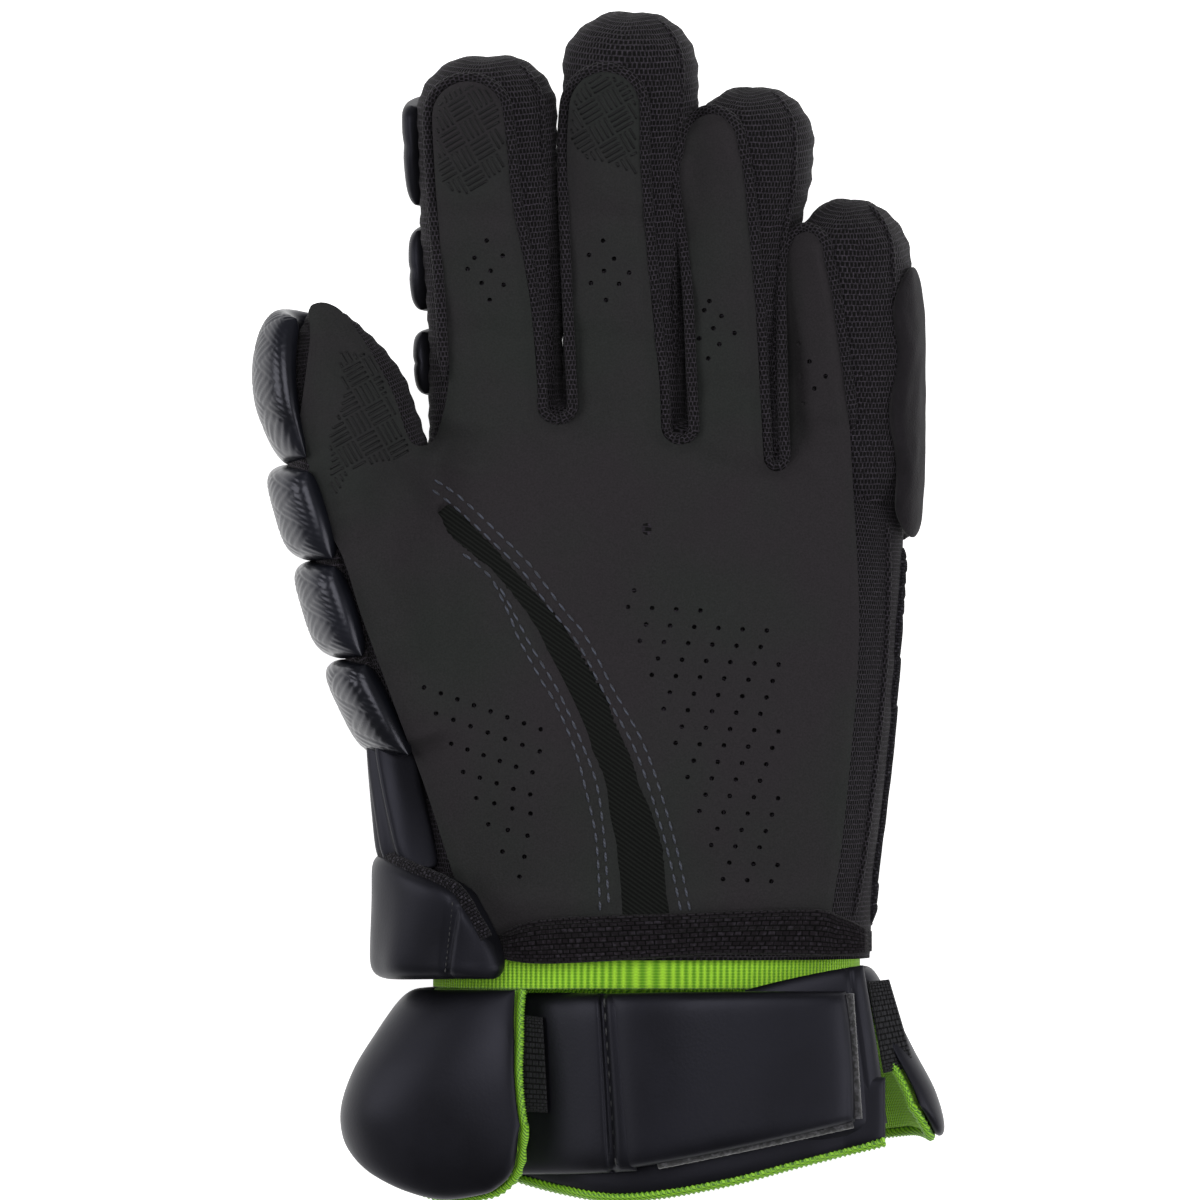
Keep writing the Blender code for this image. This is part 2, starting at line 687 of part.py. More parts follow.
def make_hem(finishes):
    """The knitted binding along the wrist edge of the palm."""
    near = HEM_END - HEM_WIDTH / PALM_LENGTH
    slab("palm_hem", on_hand, [radians(a) for a in HEM_ARC], (HEM_END, near), (12, 2),
         lambda s, t: HEM_FOAM * (0.62 + 0.38 * sin(pi * t)), finishes["knit"], gap=SEAM_GAP)


def cuff_point(along, angle, grow=0.0):
    """A point of the cuff's outer surface, or one that far outside it."""
    left, right, floor, roof, lean = interpolate(CUFF_SECTIONS, along)
    x0 = CUFF_CENTRE_X + left * CUFF_WIDTH - grow
    x1 = CUFF_CENTRE_X + right * CUFF_WIDTH + grow
    z0 = floor * CUFF_DEPTH - grow
    z1 = roof * CUFF_DEPTH + grow
    x = (x0 + x1) / 2 + (x1 - x0) / 2 * squared(cos(angle), CUFF_SQUARENESS)
    z = (z0 + z1) / 2 + (z1 - z0) / 2 * squared(sin(angle), CUFF_SQUARENESS)
    if cos(angle) > 0:
        x += lean * max(0.0, z)
    start = interpolate(CUFF_BEGIN, angle * 180 / pi)[0] * CUFF_START
    start -= CUFF_SLANT * max(0.0, x - CUFF_CENTRE_X)
    wrist = WRIST_Y - max(start, CUFF_CLEARANCE)
    return Vector((x, wrist - along * CUFF_LENGTH, z))


def make_cuff(finishes):
    """The flared cuff, open over the inside of the wrist, and its mesh lining."""

    def outer(angle, share, grow):
        first, last = CUFF_ARC
        along = share * interpolate(CUFF_END, angle)[0]
        lap = interpolate(CUFF_LAP, along)[0]
        turn = lap + (last - lap) * (angle - first) / (last - first)
        slim = CUFF_SLIM * max(0.0, min(1.0, (angle - 300) / 60))
        return cuff_point(along, radians(turn), grow + slim * min(CUFF_WALL, -grow))

    slab("cuff_shell", outer, CUFF_ARC, (0.0, 1.0), CUFF_STEPS, lambda s, t: CUFF_WALL, finishes["smooth"],
         gap=-CUFF_WALL)
    slab("cuff_lining", outer, CUFF_ARC, (0.0, 1.0), CUFF_STEPS, lambda s, t: LINING, finishes["lining"],
         gap=-(CUFF_WALL + 2 * SEAM_GAP + LINING))


def band_point(sections, left, length, lean, share, across, grow):
    """A point of a band's underside: a share of its length, and 0 to 1 across it."""
    height, near, far = interpolate(sections, share)
    y = WRIST_Y - STRAP_TOP - STRAP_HEIGHT * (near + (far - near) * across)
    x = left + share * (length + lean * STRAP_HEIGHT * across)
    return Vector((x, y, height * CUFF_DEPTH + grow))


def strap_point(share, across, grow=0.0):
    return band_point(STRAP_SECTIONS, STRAP_LEFT_X, STRAP_LENGTH, STRAP_LEAN, share, across, grow)


def panel_point(share, across, grow=0.0):
    return band_point(PANEL_SECTIONS, PANEL_LEFT_X, PANEL_LENGTH, PANEL_LEAN, share, across, grow)


def soft_edge(s, t, rim=0.35):
    """1 inside a band, falling towards a share of it at its rim."""
    return min(1.0, 8 * s + rim, 8 * (1 - s) + rim, 6 * t + rim, 6 * (1 - t) + rim)


def make_straps(finishes):
    """The padded wrist strap, the panel that it closes on, and the two elastic loops."""

    def strap_depth(s, t):
        groove = min(1.0, abs(s - STRAP_SEAM) * 14)
        return STRAP_FOAM * soft_edge(s, t) * (0.45 + 0.55 * groove)

    slab("wrist_strap", strap_point, (0.0, 1.0), (0.0, 1.0), (14, 4), strap_depth, finishes["smooth"],
         gap=0.0)
    slab("strap_loop_panel", panel_point, (0.0, 1.0), (0.0, 1.0), (8, 4),
         lambda s, t: PANEL_FOAM * soft_edge(s, t, 0.5), finishes["smooth"], gap=0.0)

    def left_run(x, across, grow):
        share = (x - STRAP_LEFT_X) / STRAP_LENGTH
        height = interpolate(STRAP_SECTIONS, share)[0]
        y = WRIST_Y - STRAP_TOP - STRAP_HEIGHT * across
        return Vector((x, y, height * CUFF_DEPTH + STRAP_FOAM + grow))

    slab("elastic_left", left_run, ELASTIC_LEFT_X, ELASTIC_RUN, (4, 2), lambda s, t: WEBBING,
         finishes["webbing"], gap=SEAM_GAP)

    middle = sum(ELASTIC_RUN) / 2
    tucked = panel_point(ELASTIC_TUCK, middle, -WEBBING - 2 * SEAM_GAP)
    run = WRIST_Y - CUFF_START - tucked.y
    sewn = cuff_point(run / CUFF_LENGTH, radians(CUFF_ARC[1]), -0.3 * CUFF_WALL)
    reach = Vector((sewn.x, tucked.y, sewn.z + SEAM_GAP)) - tucked
    down = panel_point(ELASTIC_TUCK, 1.0) - panel_point(ELASTIC_TUCK, 0.0)

    def right_run(share, across, grow):
        return tucked + reach * share + down * (across - middle) + Vector((0, 0, grow))

    slab("elastic_right", right_run, (0.0, 1.0), ELASTIC_RUN, (1, 1), lambda s, t: WEBBING,
         finishes["webbing"], gap=0.0)


def make_finishes():
    return {
        "leather": material("palm_leather", (0.030, 0.029, 0.031), 0.80),
        "woven": material("woven_stretch", (0.018, 0.020, 0.018), 0.85),
        "mesh": material("gusset_mesh", (0.022, 0.020, 0.024), 0.90),
        "shell": material("hand_liner", (0.022, 0.020, 0.024), 0.90),
        "knit": material("knit_binding", (0.024, 0.021, 0.027), 0.95),
        "pad": material("pad_cover", (0.020, 0.020, 0.022), 0.50),
        "gloss_pad": material("gloss_pad_cover", (0.022, 0.023, 0.027), 0.32),
        "smooth": material("smooth_cover", (0.026, 0.026, 0.030), 0.55),
        "suede": material("suede_panel", (0.022, 0.020, 0.023), 0.90),
        "webbing": material("elastic_webbing", (0.015, 0.015, 0.016), 0.85),
        "lining": material("lining_mesh", (0.150, 0.420, 0.010), 0.85),
    }


def rest_on_origin():
    """Moves everything so that the middle of the part's outline stands over the origin, lowest point at 0."""
    parts = [o for o in bpy.context.scene.objects if not o.hide_render]
    points = [v.co for o in parts for v in o.data.vertices]
    low = Vector(min(p[i] for p in points) for i in range(3))
    high = Vector(max(p[i] for p in points) for i in range(3))
    away = Vector((-(low.x + high.x) / 2, -(low.y + high.y) / 2, -low.z))
    for o in parts:
        o.data.transform(Matrix.Translation(away))
        o.data.update()


def main():
    clear_scene()
    finishes = make_finishes()
    make_shells(finishes)
    make_palm(finishes)
    make_finger_pads(finishes)
    make_edge_panel(finishes)
    make_back_pads(finishes)
    make_thumb_pads(finishes)
    make_wrist_pads(finishes)
    make_hem(finishes)
    make_cuff(finishes)
    make_straps(finishes)
    rest_on_origin()


main()
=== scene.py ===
"""The looks of a left-hand lacrosse glove, lying on its back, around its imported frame.

Metres, +Z out of the palm, +Y to the fingertips, the thumb on the -X side. Places that were read from the
photo are in its own pixels, 1200 across, and are turned into metres by place().
"""
from bisect import bisect
from math import acos, cos, degrees, exp, floor, hypot, pi, radians, sin, sqrt

import bmesh
import bpy
from mathutils import Matrix, Vector, kdtree, noise
from mathutils.bvhtree import BVHTree


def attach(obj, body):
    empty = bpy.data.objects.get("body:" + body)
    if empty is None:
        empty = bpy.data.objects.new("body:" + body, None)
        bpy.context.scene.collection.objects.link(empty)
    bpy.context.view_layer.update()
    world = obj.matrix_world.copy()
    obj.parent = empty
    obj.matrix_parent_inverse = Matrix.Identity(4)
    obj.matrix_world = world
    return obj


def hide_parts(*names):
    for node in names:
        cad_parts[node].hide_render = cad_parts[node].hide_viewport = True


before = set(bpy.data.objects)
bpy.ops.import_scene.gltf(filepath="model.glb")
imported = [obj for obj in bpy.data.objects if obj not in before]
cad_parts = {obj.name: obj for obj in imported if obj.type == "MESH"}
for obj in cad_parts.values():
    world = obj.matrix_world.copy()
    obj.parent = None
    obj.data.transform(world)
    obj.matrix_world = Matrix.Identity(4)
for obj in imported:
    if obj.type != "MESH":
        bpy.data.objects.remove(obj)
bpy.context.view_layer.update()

# The photo
PIXEL = 0.00028
CENTRE_PX = (603.3, 604.4)
PHOTO_SIZE = 1200

# The solids' own sizes
MESH_WALL = 0.0022
LEATHER = 0.0013
LINING = 0.0012
PALM_WIDTH = 0.136
PALM_LENGTH = 0.148
HAND_DEPTH = 0.043
PALM_CENTRE_X = 0.0150
WRIST_Y = -0.0992
HAND_FLOOR = 0.0145
FINGER_WIDTH = 0.036
FINGER_DEPTH = 0.030
FINGER_FLOOR = 0.0205
CURL_LIFT = 0.012
THUMB_WIDTH = 0.034
THUMB_DEPTH = 0.030
THUMB_RISE = 0.004
FINGER_CAP = 0.0155
THUMB_CAP = 0.034
HAND_SQUARENESS = 2.7
FINGER_SQUARENESS = 2.4
CUFF_SQUARENESS = 2.5
CUFF_WALL = 0.0075
CUFF_WIDTH = 0.168
CUFF_LENGTH = 0.0585
CUFF_DEPTH = 0.064
CUFF_CENTRE_X = 0.0090
CUFF_START = 0.0083
CUFF_SLANT = 0.115
CUFF_CLEARANCE = 0.0026
CUFF_SLIM = 0.40
STRAP_LEFT_X = -0.0305
STRAP_LENGTH = 0.098
PAD_SPACE = 0.0022

# How the cloth lies
PAD_GAP = 0.0006
FINGER_FOOT = -0.24
THUMB_FOOT = 0.10
FOOT_SINK = 0.022
TUBE_SIDE_SWELL = 0.0010
GATHER_DEPTH = 0.00020
KNUCKLE_TURN = 0.90
LEATHER_REST = 0.0004
PRINT_MARGIN = 0.001
BARE_HEIGHT = 0.036
HEM_REACH_X = 0.0728
HEM_FALL = 1.3

# The camera
CAMERA_HEIGHT = 2.4
GLOVE_MIDDLE_Z = 0.045
SENSOR = 36.0

HAND_SECTIONS = (
    # along, left, right, floor, roof, slant
    (0.000, -0.482, 0.440, 0.02, 0.98, 0.00),
    (0.170, -0.482, 0.450, 0.00, 1.03, 0.00),
    (0.405, -0.504, 0.480, 0.00, 1.06, 0.00),
    (0.670, -0.518, 0.500, 0.00, 1.02, -0.02),
    (0.850, -0.492, 0.510, 0.01, 0.95, -0.08),
    (0.960, -0.462, 0.506, 0.03, 0.87, -0.13),
    (1.010, -0.430, 0.485, 0.14, 0.75, -0.15),
)
PALM_MOUNDS = (
    # across, along, height, spread
    (-0.30, 0.42, 0.10, 0.26),
    (0.30, 0.30, 0.06, 0.24),
    (-0.02, 0.62, -0.10, 0.22),
)
FINGERS = {
    # sections: share of the length, sideways shift, width
    "index": dict(across=-0.326, along=0.995, lean=-0.035, length=0.105, roll=9.0, lift=0.85,
                  sections=((0.0, 0.0, 0.99), (1.0, 0.0, 1.06))),
    "middle": dict(across=-0.066, along=0.985, lean=0.010, length=0.1185, roll=12.0, lift=1.15,
                   sections=((0.0, 0.0, 0.93), (0.6, 0.0, 0.94), (0.8, 0.02, 1.00))),
    "ring": dict(across=0.165, along=0.955, lean=0.010, length=0.1025, roll=14.0, lift=0.95,
                 sections=((0.0, 0.0, 0.745), (0.45, 0.0, 0.76), (0.60, 0.040, 0.82), (0.75, 0.085, 0.89))),
    "pinky": dict(across=0.400, along=0.905, lean=-0.005, length=0.0785, roll=15.0, lift=0.80,
                  sections=((0.0, 0.0, 0.90), (0.7, 0.015, 0.87), (1.0, 0.0, 0.82))),
    "thumb": dict(across=-0.405, along=0.370, lean=-0.31, length=0.134, roll=-24.0, lift=0.50,
                  sections=((0.0, 0.06, 0.86), (0.20, 0.0, 1.00), (0.35, 0.0, 1.03), (0.75, 0.0, 0.94))),
}
FINGER_PADS = (
    # start and end in stations, where 1 is the foot of the rounded tip
    (0.12, 0.34), (0.38, 0.66), (0.70, 1.12),
)
FINGER_PAD_REACH = {
    # from angle, to angle, how much the pads spread sideways
    "index": (165, 315, 0.50),
    "middle": (225, 315, 0.05),
    "ring": (225, 315, 0.05),
    "pinky": (225, 315, 0.20),
}
FINGER_PAD = 0.0115
BACK_PAD = 0.0165
BACK_ROWS = (
    # name, start, end, edges of the columns
    ("knuckle", 0.780, 0.905, (-0.76, -0.38, 0.02, 0.42, 0.80)),
    ("upper", 0.590, 0.765, (-0.78, -0.38, 0.02, 0.44, 0.86)),
    ("middle", 0.395, 0.575, (-0.80, -0.28, 0.30, 0.86)),
    ("lower", 0.175, 0.380, (-0.82, 0.02, 0.86)),
)
THUMB_PADS = (
    # name, start, end, from angle, to angle, thickness
    ("tip", 0.874, 1.631, 160, 285, 0.0070),
    ("upper", 0.594, 0.876, 160, 285, 0.0098),
    ("middle", 0.307, 0.596, 160, 285, 0.0098),
    ("lower", 0.015, 0.306, 160, 262, 0.0100),
)
THUMB_PAD_SKEW = 0.30
THUMB_TIP_LENGTH = 0.044
THUMB_GIRTH = 0.112
WRAP_TOP = (
    # share round the wrap, share of the palm's length that its top edge reaches
    (0.0, 0.012), (0.06, 0.090), (0.11, 0.138), (0.25, 0.172), (0.45, 0.198), (1.0, 0.198),
)
PANEL_HEIGHTS = (
    # share of the panel's length, share of the cuff's depth
    (0.0, 0.900), (0.35, 0.905), (0.70, 0.880), (0.88, 0.845), (1.0, 0.800),
)
PANEL_LENGTH = 0.0409
RIGHT_ELASTIC_RUN = 0.0134
CUFF_SECTIONS = (
    # along, left, right, floor, roof, lean of the open side
    (0.00, -0.384, 0.385, 0.060, 0.960, 0.08),
    (0.20, -0.432, 0.412, 0.036, 0.990, 0.10),
    (0.40, -0.474, 0.442, 0.028, 1.010, 0.12),
    (0.60, -0.494, 0.474, 0.024, 1.010, 0.14),
    (0.80, -0.482, 0.490, 0.020, 1.000, 0.15),
    (1.00, -0.450, 0.490, 0.020, 0.980, 0.16),
)
CUFF_LAP = ((0.00, 118.5), (0.30, 111.5), (0.60, 108.5), (1.00, 108.5))
CUFF_ARC = (110.5, 384.0)
CUFF_BEGIN = ((110.0, 1.0), (236.0, 1.0), (262.0, 0.35), (320.0, 0.35), (350.0, 1.0), (390.0, 1.0))
CUFF_END = (
    # angle, where the cuff ends as a share of its length
    (110.5, 0.64), (114.0, 0.84), (120.0, 0.945), (126.0, 0.98), (137.0, 1.00), (148.0, 0.97),
    (162.0, 0.90), (180.0, 0.80), (205.0, 0.86), (238.0, 0.97), (270.0, 0.915), (310.0, 0.86),
    (345.0, 0.80), (372.0, 0.80), (384.0, 0.66),
)
STRAP_HEIGHTS = (
    # share of the strap's length, share of the cuff's depth
    (0.00, 0.560), (0.12, 0.690), (0.29, 0.870), (0.50, 0.985), (0.72, 1.000), (0.88, 0.970), (1.00, 0.930),
)

# The palm leather's outline, in pixels
STRIPS = {
    # top, then rows of y, left edge, right edge
    "index": (84, ((118, 433, 504), (150, 434, 508), (200, 437, 513), (300, 445, 530), (380, 449, 537))),
    "middle": (75, ((112, 569, 640), (150, 567, 640), (200, 568, 643), (300, 572, 651), (380, 576, 659))),
    "ring": (116, ((152, 683, 738), (182, 679, 744), (280, 691, 753), (380, 696, 759))),
    "pinky": (233, ((262, 786, 824), (300, 785, 832), (393, 787, 845), (430, 788, 849))),
}
CROTCHES = (
    # left x, right x, y where the rounding starts, lowest y
    (538, 577, 405, 424), (661, 698, 426, 445), (763, 789, 456, 472),
)
PALM_RIGHT = ((852, 480), (858, 600), (856, 680), (850, 750), (841, 840), (831, 907), (826, 924))
PALM_FOOT = ((700, 926), (560, 930), (500, 934))
PALM_LEFT = (
    (478, 922), (458, 885), (430, 800), (410, 745), (375, 650), (360, 608), (345, 560), (325, 520),
    (305, 462), (300, 430), (304, 400), (311, 340), (309, 311),
)
THUMB_RIGHT = ((318, 303), (332, 305), (346, 316), (370, 350), (394, 395), (408, 436), (419, 446), (436, 436))
CREASE = (
    # x, y, half width
    (443, 509, 1.5), (462, 531, 6.5), (481, 548, 6.5), (500, 566, 6), (519, 588, 6.5), (540, 615, 8),
    (556, 643, 10), (574, 674, 11.5), (590, 705, 12.5), (606, 743, 13), (619, 776, 14.5), (637, 840, 20),
    (645, 905, 22), (648, 932, 23),
)
STITCH_ROWS = (
    ((433, 479), (461, 498), (499, 534), (530, 565), (561, 606), (586, 637), (611, 685), (642, 741),
     (661, 794), (677, 851), (689, 907)),
    ((431, 489), (455, 507), (492, 541), (523, 572), (553, 612), (578, 643), (603, 690), (633, 745),
     (652, 797), (668, 853), (680, 907)),
    ((462, 553), (478, 565), (492, 579), (503, 600), (512, 620), (520, 640), (542, 680), (557, 705),
     (575, 748), (585, 785), (596, 837), (600, 907)),
    ((500, 587), (510, 605), (519, 622), (531, 645), (545, 668), (558, 690), (570, 715), (583, 745),
     (597, 785), (604, 837), (609, 907)),
)
FINGER_HOLES = (
    (487, 242), (503, 257), (475, 259), (468, 270), (491, 272), (482, 284), (504, 286), (490, 301),
    (603, 242), (589, 256), (614, 260), (604, 272), (629, 274), (591, 284), (619, 285), (606, 301),
    (709, 302), (704, 311), (721, 317), (713, 329), (734, 334), (699, 339), (719, 345), (708, 359),
    (798, 344), (809, 362), (799, 376), (825, 377), (814, 389), (803, 404),
)
THUMB_SIDE_HOLES = (
    # x, y, count, step in x, step in y
    (425, 687, 8, 16.6, 5.9), (437, 713, 7, 17.2, 6.2), (452, 743, 6, 16.2, 5.6), (464, 771, 5, 16.7, 5.5),
    (477, 797, 4, 18.0, 5.0), (489, 823, 3, 19.5, 5.5), (503, 850, 2, 22.0, 5.0), (520, 875, 1, 0.0, 0.0),
)
HEEL_HOLE_FIELD = ((617, 584), (781, 629), (778, 884), (716, 884))
HEEL_HOLE_START = (622, 590)
HEEL_HOLE_STEP = (24, 16.6)
HEEL_HOLE_DRIFT = (5.9, 0.05)
HEEL_HOLE_ROWS = 19
HEEL_HOLE_COLUMNS = 8
HOLE_RADIUS = 0.00068
FOLDS = (
    # start x, start y, end x, end y, width in mm, height in mm
    (425, 452, 470, 468, 3.0, 1.26), (415, 470, 455, 520, 4.0, -1.26), (398, 455, 372, 545, 5.0, -1.12),
    (350, 500, 392, 640, 7.0, 1.12), (415, 560, 470, 690, 8.0, -0.98), (470, 690, 560, 880, 10.0, 0.98),
    (560, 460, 640, 520, 9.0, -0.98), (690, 480, 640, 600, 12.0, -1.12), (760, 500, 700, 560, 9.0, 0.98),
    (800, 520, 820, 700, 8.0, -0.98), (455, 330, 525, 338, 4.0, -0.84), (580, 335, 650, 345, 4.0, -0.84),
    (694, 385, 755, 395, 4.0, -0.84), (790, 425, 840, 430, 3.5, -0.84), (445, 215, 508, 220, 3.5, -0.70),
    (572, 215, 640, 220, 3.5, -0.70), (455, 420, 530, 450, 5.0, 1.12), (585, 430, 655, 445, 5.0, 0.98),
    (700, 460, 762, 480, 5.0, 0.98), (480, 905, 600, 898, 4.0, 0.98), (690, 900, 830, 896, 4.0, 0.98),
    (330, 420, 395, 470, 5.0, 0.84), (700, 640, 800, 720, 14.0, 0.84),
)
GRIP_PRINTS = {
    # the parts of the palm that carry printed ribs, in pixels
    "index": ((425, 80), (515, 80), (508, 150), (505, 172), (470, 198), (445, 190), (432, 150)),
    "middle": ((560, 70), (650, 70), (643, 160), (646, 182), (612, 166), (585, 160), (566, 140)),
    "thumb": ((340, 352), (385, 355), (412, 446), (408, 458), (352, 470), (334, 508), (330, 440), (345, 400)),
}
HEM_TOP = ((497, 934), (540, 917), (650, 912), (804, 907), (840, 915), (871, 930))
HEM_FOOT = ((497, 956), (540, 962), (650, 957), (716, 953), (833, 954), (871, 950))
SIDE_SEAMS = (
    # the bindings down the outer side of the hand, in pixels
    ((903, 548), (905, 620), (899, 690), (890, 780), (880, 860), (872, 925)),
    ((887, 520), (888, 600), (882, 700), (871, 800), (860, 880), (853, 915)),
)

# The closure's corners: top left, top right, foot right, foot left, in pixels
STRAP_BASE = ((505, 993), (622, 990), (638, 1168), (490, 1177))
STRAP_TAB = ((604, 989), (847, 987), (856, 1119), (620, 1168))
LOOP_PANEL = ((742, 986), (863, 961), (888, 1123), (763, 1152))
LEFT_ELASTIC = ((519, 1014), (543, 1016), (548, 1111), (517, 1111))
RIGHT_ELASTIC = ((867, 981), (889, 979), (915, 1066), (883, 1073))
UNDER_LAYER_FOOT = (
    # x, y of its lower edge
    (494, 1172), (560, 1187), (622, 1193), (720, 1178), (800, 1158), (888, 1137),
)
UNDER_LAYER_TOP = 1075


# Small tools

def linear(hex_colour):
    """An sRGB hex value as linear red, green, blue and alpha."""
    shares = [int(hex_colour[i:i + 2], 16) / 255 for i in (1, 3, 5)]
    return (*[c / 12.92 if c <= 0.04045 else ((c + 0.055) / 1.055) ** 2.4 for c in shares], 1.0)


def place(px, py, z=0.0):
    """The point of the frame that the photo shows at a pixel, at a height."""
    return Vector(((px - CENTRE_PX[0]) * PIXEL, (CENTRE_PX[1] - py) * PIXEL, z))


def row_at(rows, key):
    """A table's row at key, its first column, on a smooth curve through the rows."""
    i = max(0, min(len(rows) - 2, bisect([row[0] for row in rows], key) - 1))
    a, b = rows[i], rows[i + 1]
    before, after = rows[max(0, i - 1)], rows[min(len(rows) - 1, i + 2)]
    span = b[0] - a[0]
    t = min(1.0, max(0.0, (key - a[0]) / span))
    out = []
    for k in range(1, len(a)):
        leaving = (b[k] - before[k]) / (b[0] - before[0])
        arriving = (after[k] - a[k]) / (after[0] - a[0])
        bend = span * (leaving * t * (1 - t) ** 2 - arriving * t * t * (1 - t))
        out.append(a[k] + (b[k] - a[k]) * t * t * (3 - 2 * t) + bend)
    return out


def curve_through(points, step, closed=False):
    """Points at about a step apart on a smooth curve through the points."""
    count = len(points)
    out = []
    for i in range(count if closed else count - 1):
        if closed:
            a, b, c, d = (points[(i + k) % count] for k in (-1, 0, 1, 2))
        else:
            a, b, c, d = (points[max(0, min(count - 1, i + k))] for k in (-1, 0, 1, 2))
        steps = max(1, round((c - b).length / step))
        for k in range(steps):
            t = k / steps
            out.append(0.5 * (2 * b + (c - a) * t + (2 * a - 5 * b + 4 * c - d) * t * t
                              + (3 * b - 3 * c + d - a) * t ** 3))
    if not closed:
        out.append(points[-1].copy())
    return out


def inside(x, y, outline):
    """Whether a place lies inside a closed outline of points."""
    found = False
    x0, y0 = outline[-1][0], outline[-1][1]
    for point in outline:
        x1, y1 = point[0], point[1]
        if (y1 > y) != (y0 > y) and x < (x0 - x1) * (y - y1) / (y0 - y1) + x1:
            found = not found
        x0, y0 = x1, y1
    return found


def bell(distance, width):
    """A smooth hump, 1 at no distance and fading over a width."""
    return exp(-(distance / width) ** 2)


def off_line(x, y, x0, y0, x1, y1):
    """The distance from a place to a stretch of line."""
    dx, dy = x1 - x0, y1 - y0
    t = max(0.0, min(1.0, ((x - x0) * dx + (y - y0) * dy) / (dx * dx + dy * dy)))
    return hypot(x - x0 - t * dx, y - y0 - t * dy)


# Materials

def add(tree, kind, sockets=(), **settings):
    """A shader node with its settings. A socket's value is a constant, or another node's output to link."""
    made = tree.nodes.new("ShaderNode" + kind)
    for name, value in settings.items():
        setattr(made, name, value)
    for socket, value in dict(sockets).items():
        if isinstance(value, bpy.types.NodeSocket):
            tree.links.new(value, made.inputs[socket])
        else:
            made.inputs[socket].default_value = value
    return made


def blank(name, roughness, **sockets):
    """A new material with its node tree and its Principled shader."""
    made = bpy.data.materials.new(name)
    made.use_nodes = True
    shader = made.node_tree.nodes["Principled BSDF"]
    shader.inputs["Roughness"].default_value = roughness
    for socket, value in sockets.items():
        shader.inputs[socket.replace("_", " ")].default_value = value
    return made, made.node_tree, shader


def mapped(tree, source, scale):
    """The Object or UV coordinates, scaled so that a pattern of size 1 is one scale across."""
    coordinates = add(tree, "TexCoord").outputs[source]
    return add(tree, "Mapping", {"Vector": coordinates, "Scale": [1 / s for s in scale]}).outputs[0]


def speckle(tree, source, size, detail=2.0):
    """A noise node with features about a size across, in metres."""
    where = mapped(tree, source, (size,) * 3)
    return add(tree, "TexNoise", {"Vector": where, "Scale": 1.0, "Detail": detail})


def pebbles(tree, size):
    """Rounded cells about a size across, by their distance from a centre."""
    where = mapped(tree, "Object", (size,) * 3)
    return add(tree, "TexVoronoi", {"Vector": where, "Scale": 1.0}).outputs["Distance"]


def bricks(tree, where, width, row, gap, soft, first, second, between):
    """Staggered cells, each of two greys, with a gap of a third grey between them."""
    greys = {"Color1": first, "Color2": second, "Mortar": between}
    return add(tree, "TexBrick", {"Vector": where, "Scale": 1.0, "Brick Width": width, "Row Height": row,
                                  "Mortar Size": gap, "Mortar Smooth": soft,
                                  **{key: (grey, grey, grey, 1) for key, grey in greys.items()}})


def ramp(tree, fac, low, high, dark, light):
    """A colour between two hex colours as fac goes from low to high."""
    made = add(tree, "ValToRGB", {"Fac": fac})
    for stop, position, colour in zip(made.color_ramp.elements, (low, high), (dark, light)):
        stop.position = position
        stop.color = linear(colour)
    return made.outputs["Color"]


def bumped(tree, shader, height, distance, strength=1.0):
    """Lets a height pattern tilt the shader's light."""
    made = add(tree, "Bump", {"Height": height, "Distance": distance, "Strength": strength})
    tree.links.new(made.outputs["Normal"], shader.inputs["Normal"])


def sum_of(tree, first, second, share):
    """first plus a share of second."""
    return add(tree, "Math", {0: second, 1: share, 2: first}, operation="MULTIPLY_ADD").outputs[0]


def times(tree, first, second, share=1.0):
    """Two colours multiplied, the second one at a share."""
    made = add(tree, "Mix", {0: share, 6: first, 7: second}, data_type="RGBA", blend_type="MULTIPLY")
    return made.outputs[2]


def microfibre_leather():
    """Brushed microfibre: a dry, nearly matt charcoal with a fine pebble grain, faintly plum and green."""
    made, tree, shader = blank("microfibre_leather", 0.78, Specular_IOR_Level=0.14, Sheen_Weight=0.03)
    patches = speckle(tree, "Object", 0.045, 3.0)
    nap = speckle(tree, "Object", 0.0005)
    tint = ramp(tree, patches.outputs["Fac"], 0.38, 0.62, "#2b282b", "#282a29")
    shade = ramp(tree, nap.outputs["Fac"], 0.30, 0.75, "#cfcfcf", "#ffffff")
    tree.links.new(times(tree, tint, shade), shader.inputs["Base Color"])
    rough = add(tree, "MapRange", {"Value": nap.outputs["Fac"], "To Min": 0.70, "To Max": 0.88})
    tree.links.new(rough.outputs[0], shader.inputs["Roughness"])
    bumped(tree, shader, sum_of(tree, nap.outputs["Fac"], pebbles(tree, 0.0010), 0.8), 0.00008, 0.5)
    return made


def weave(name, cell, row, dark, light, thread, roughness, depth, sheen=0.04):
    """Knitted mesh: rows of small open cells between lighter threads, drawn on the cloth's own UV map."""
    made, tree, shader = blank(name, roughness, Sheen_Weight=sheen, Specular_IOR_Level=0.14)
    place_on = mapped(tree, "UV", (1.0, 1.0, 1.0))
    wobble = speckle(tree, "UV", 0.004).outputs["Color"]
    shifted = add(tree, "VectorMath", {0: wobble, 1: (cell * 0.5,) * 3}, operation="MULTIPLY")
    where = add(tree, "VectorMath", {0: place_on, 1: shifted.outputs[0]}, operation="ADD")
    cells = bricks(tree, where.outputs[0], cell, row, thread, 0.9, 0, 0.2, 1)
    lustre = speckle(tree, "UV", cell * 0.8)
    threads = ramp(tree, lustre.outputs["Fac"], 0.35, 0.70, "#8c8c8c", "#ffffff")
    colour = ramp(tree, cells.outputs["Fac"], 0.15, 0.95, dark, light)
    tree.links.new(times(tree, colour, threads), shader.inputs["Base Color"])
    bumped(tree, shader, cells.outputs["Fac"], depth, 0.9)
    return made


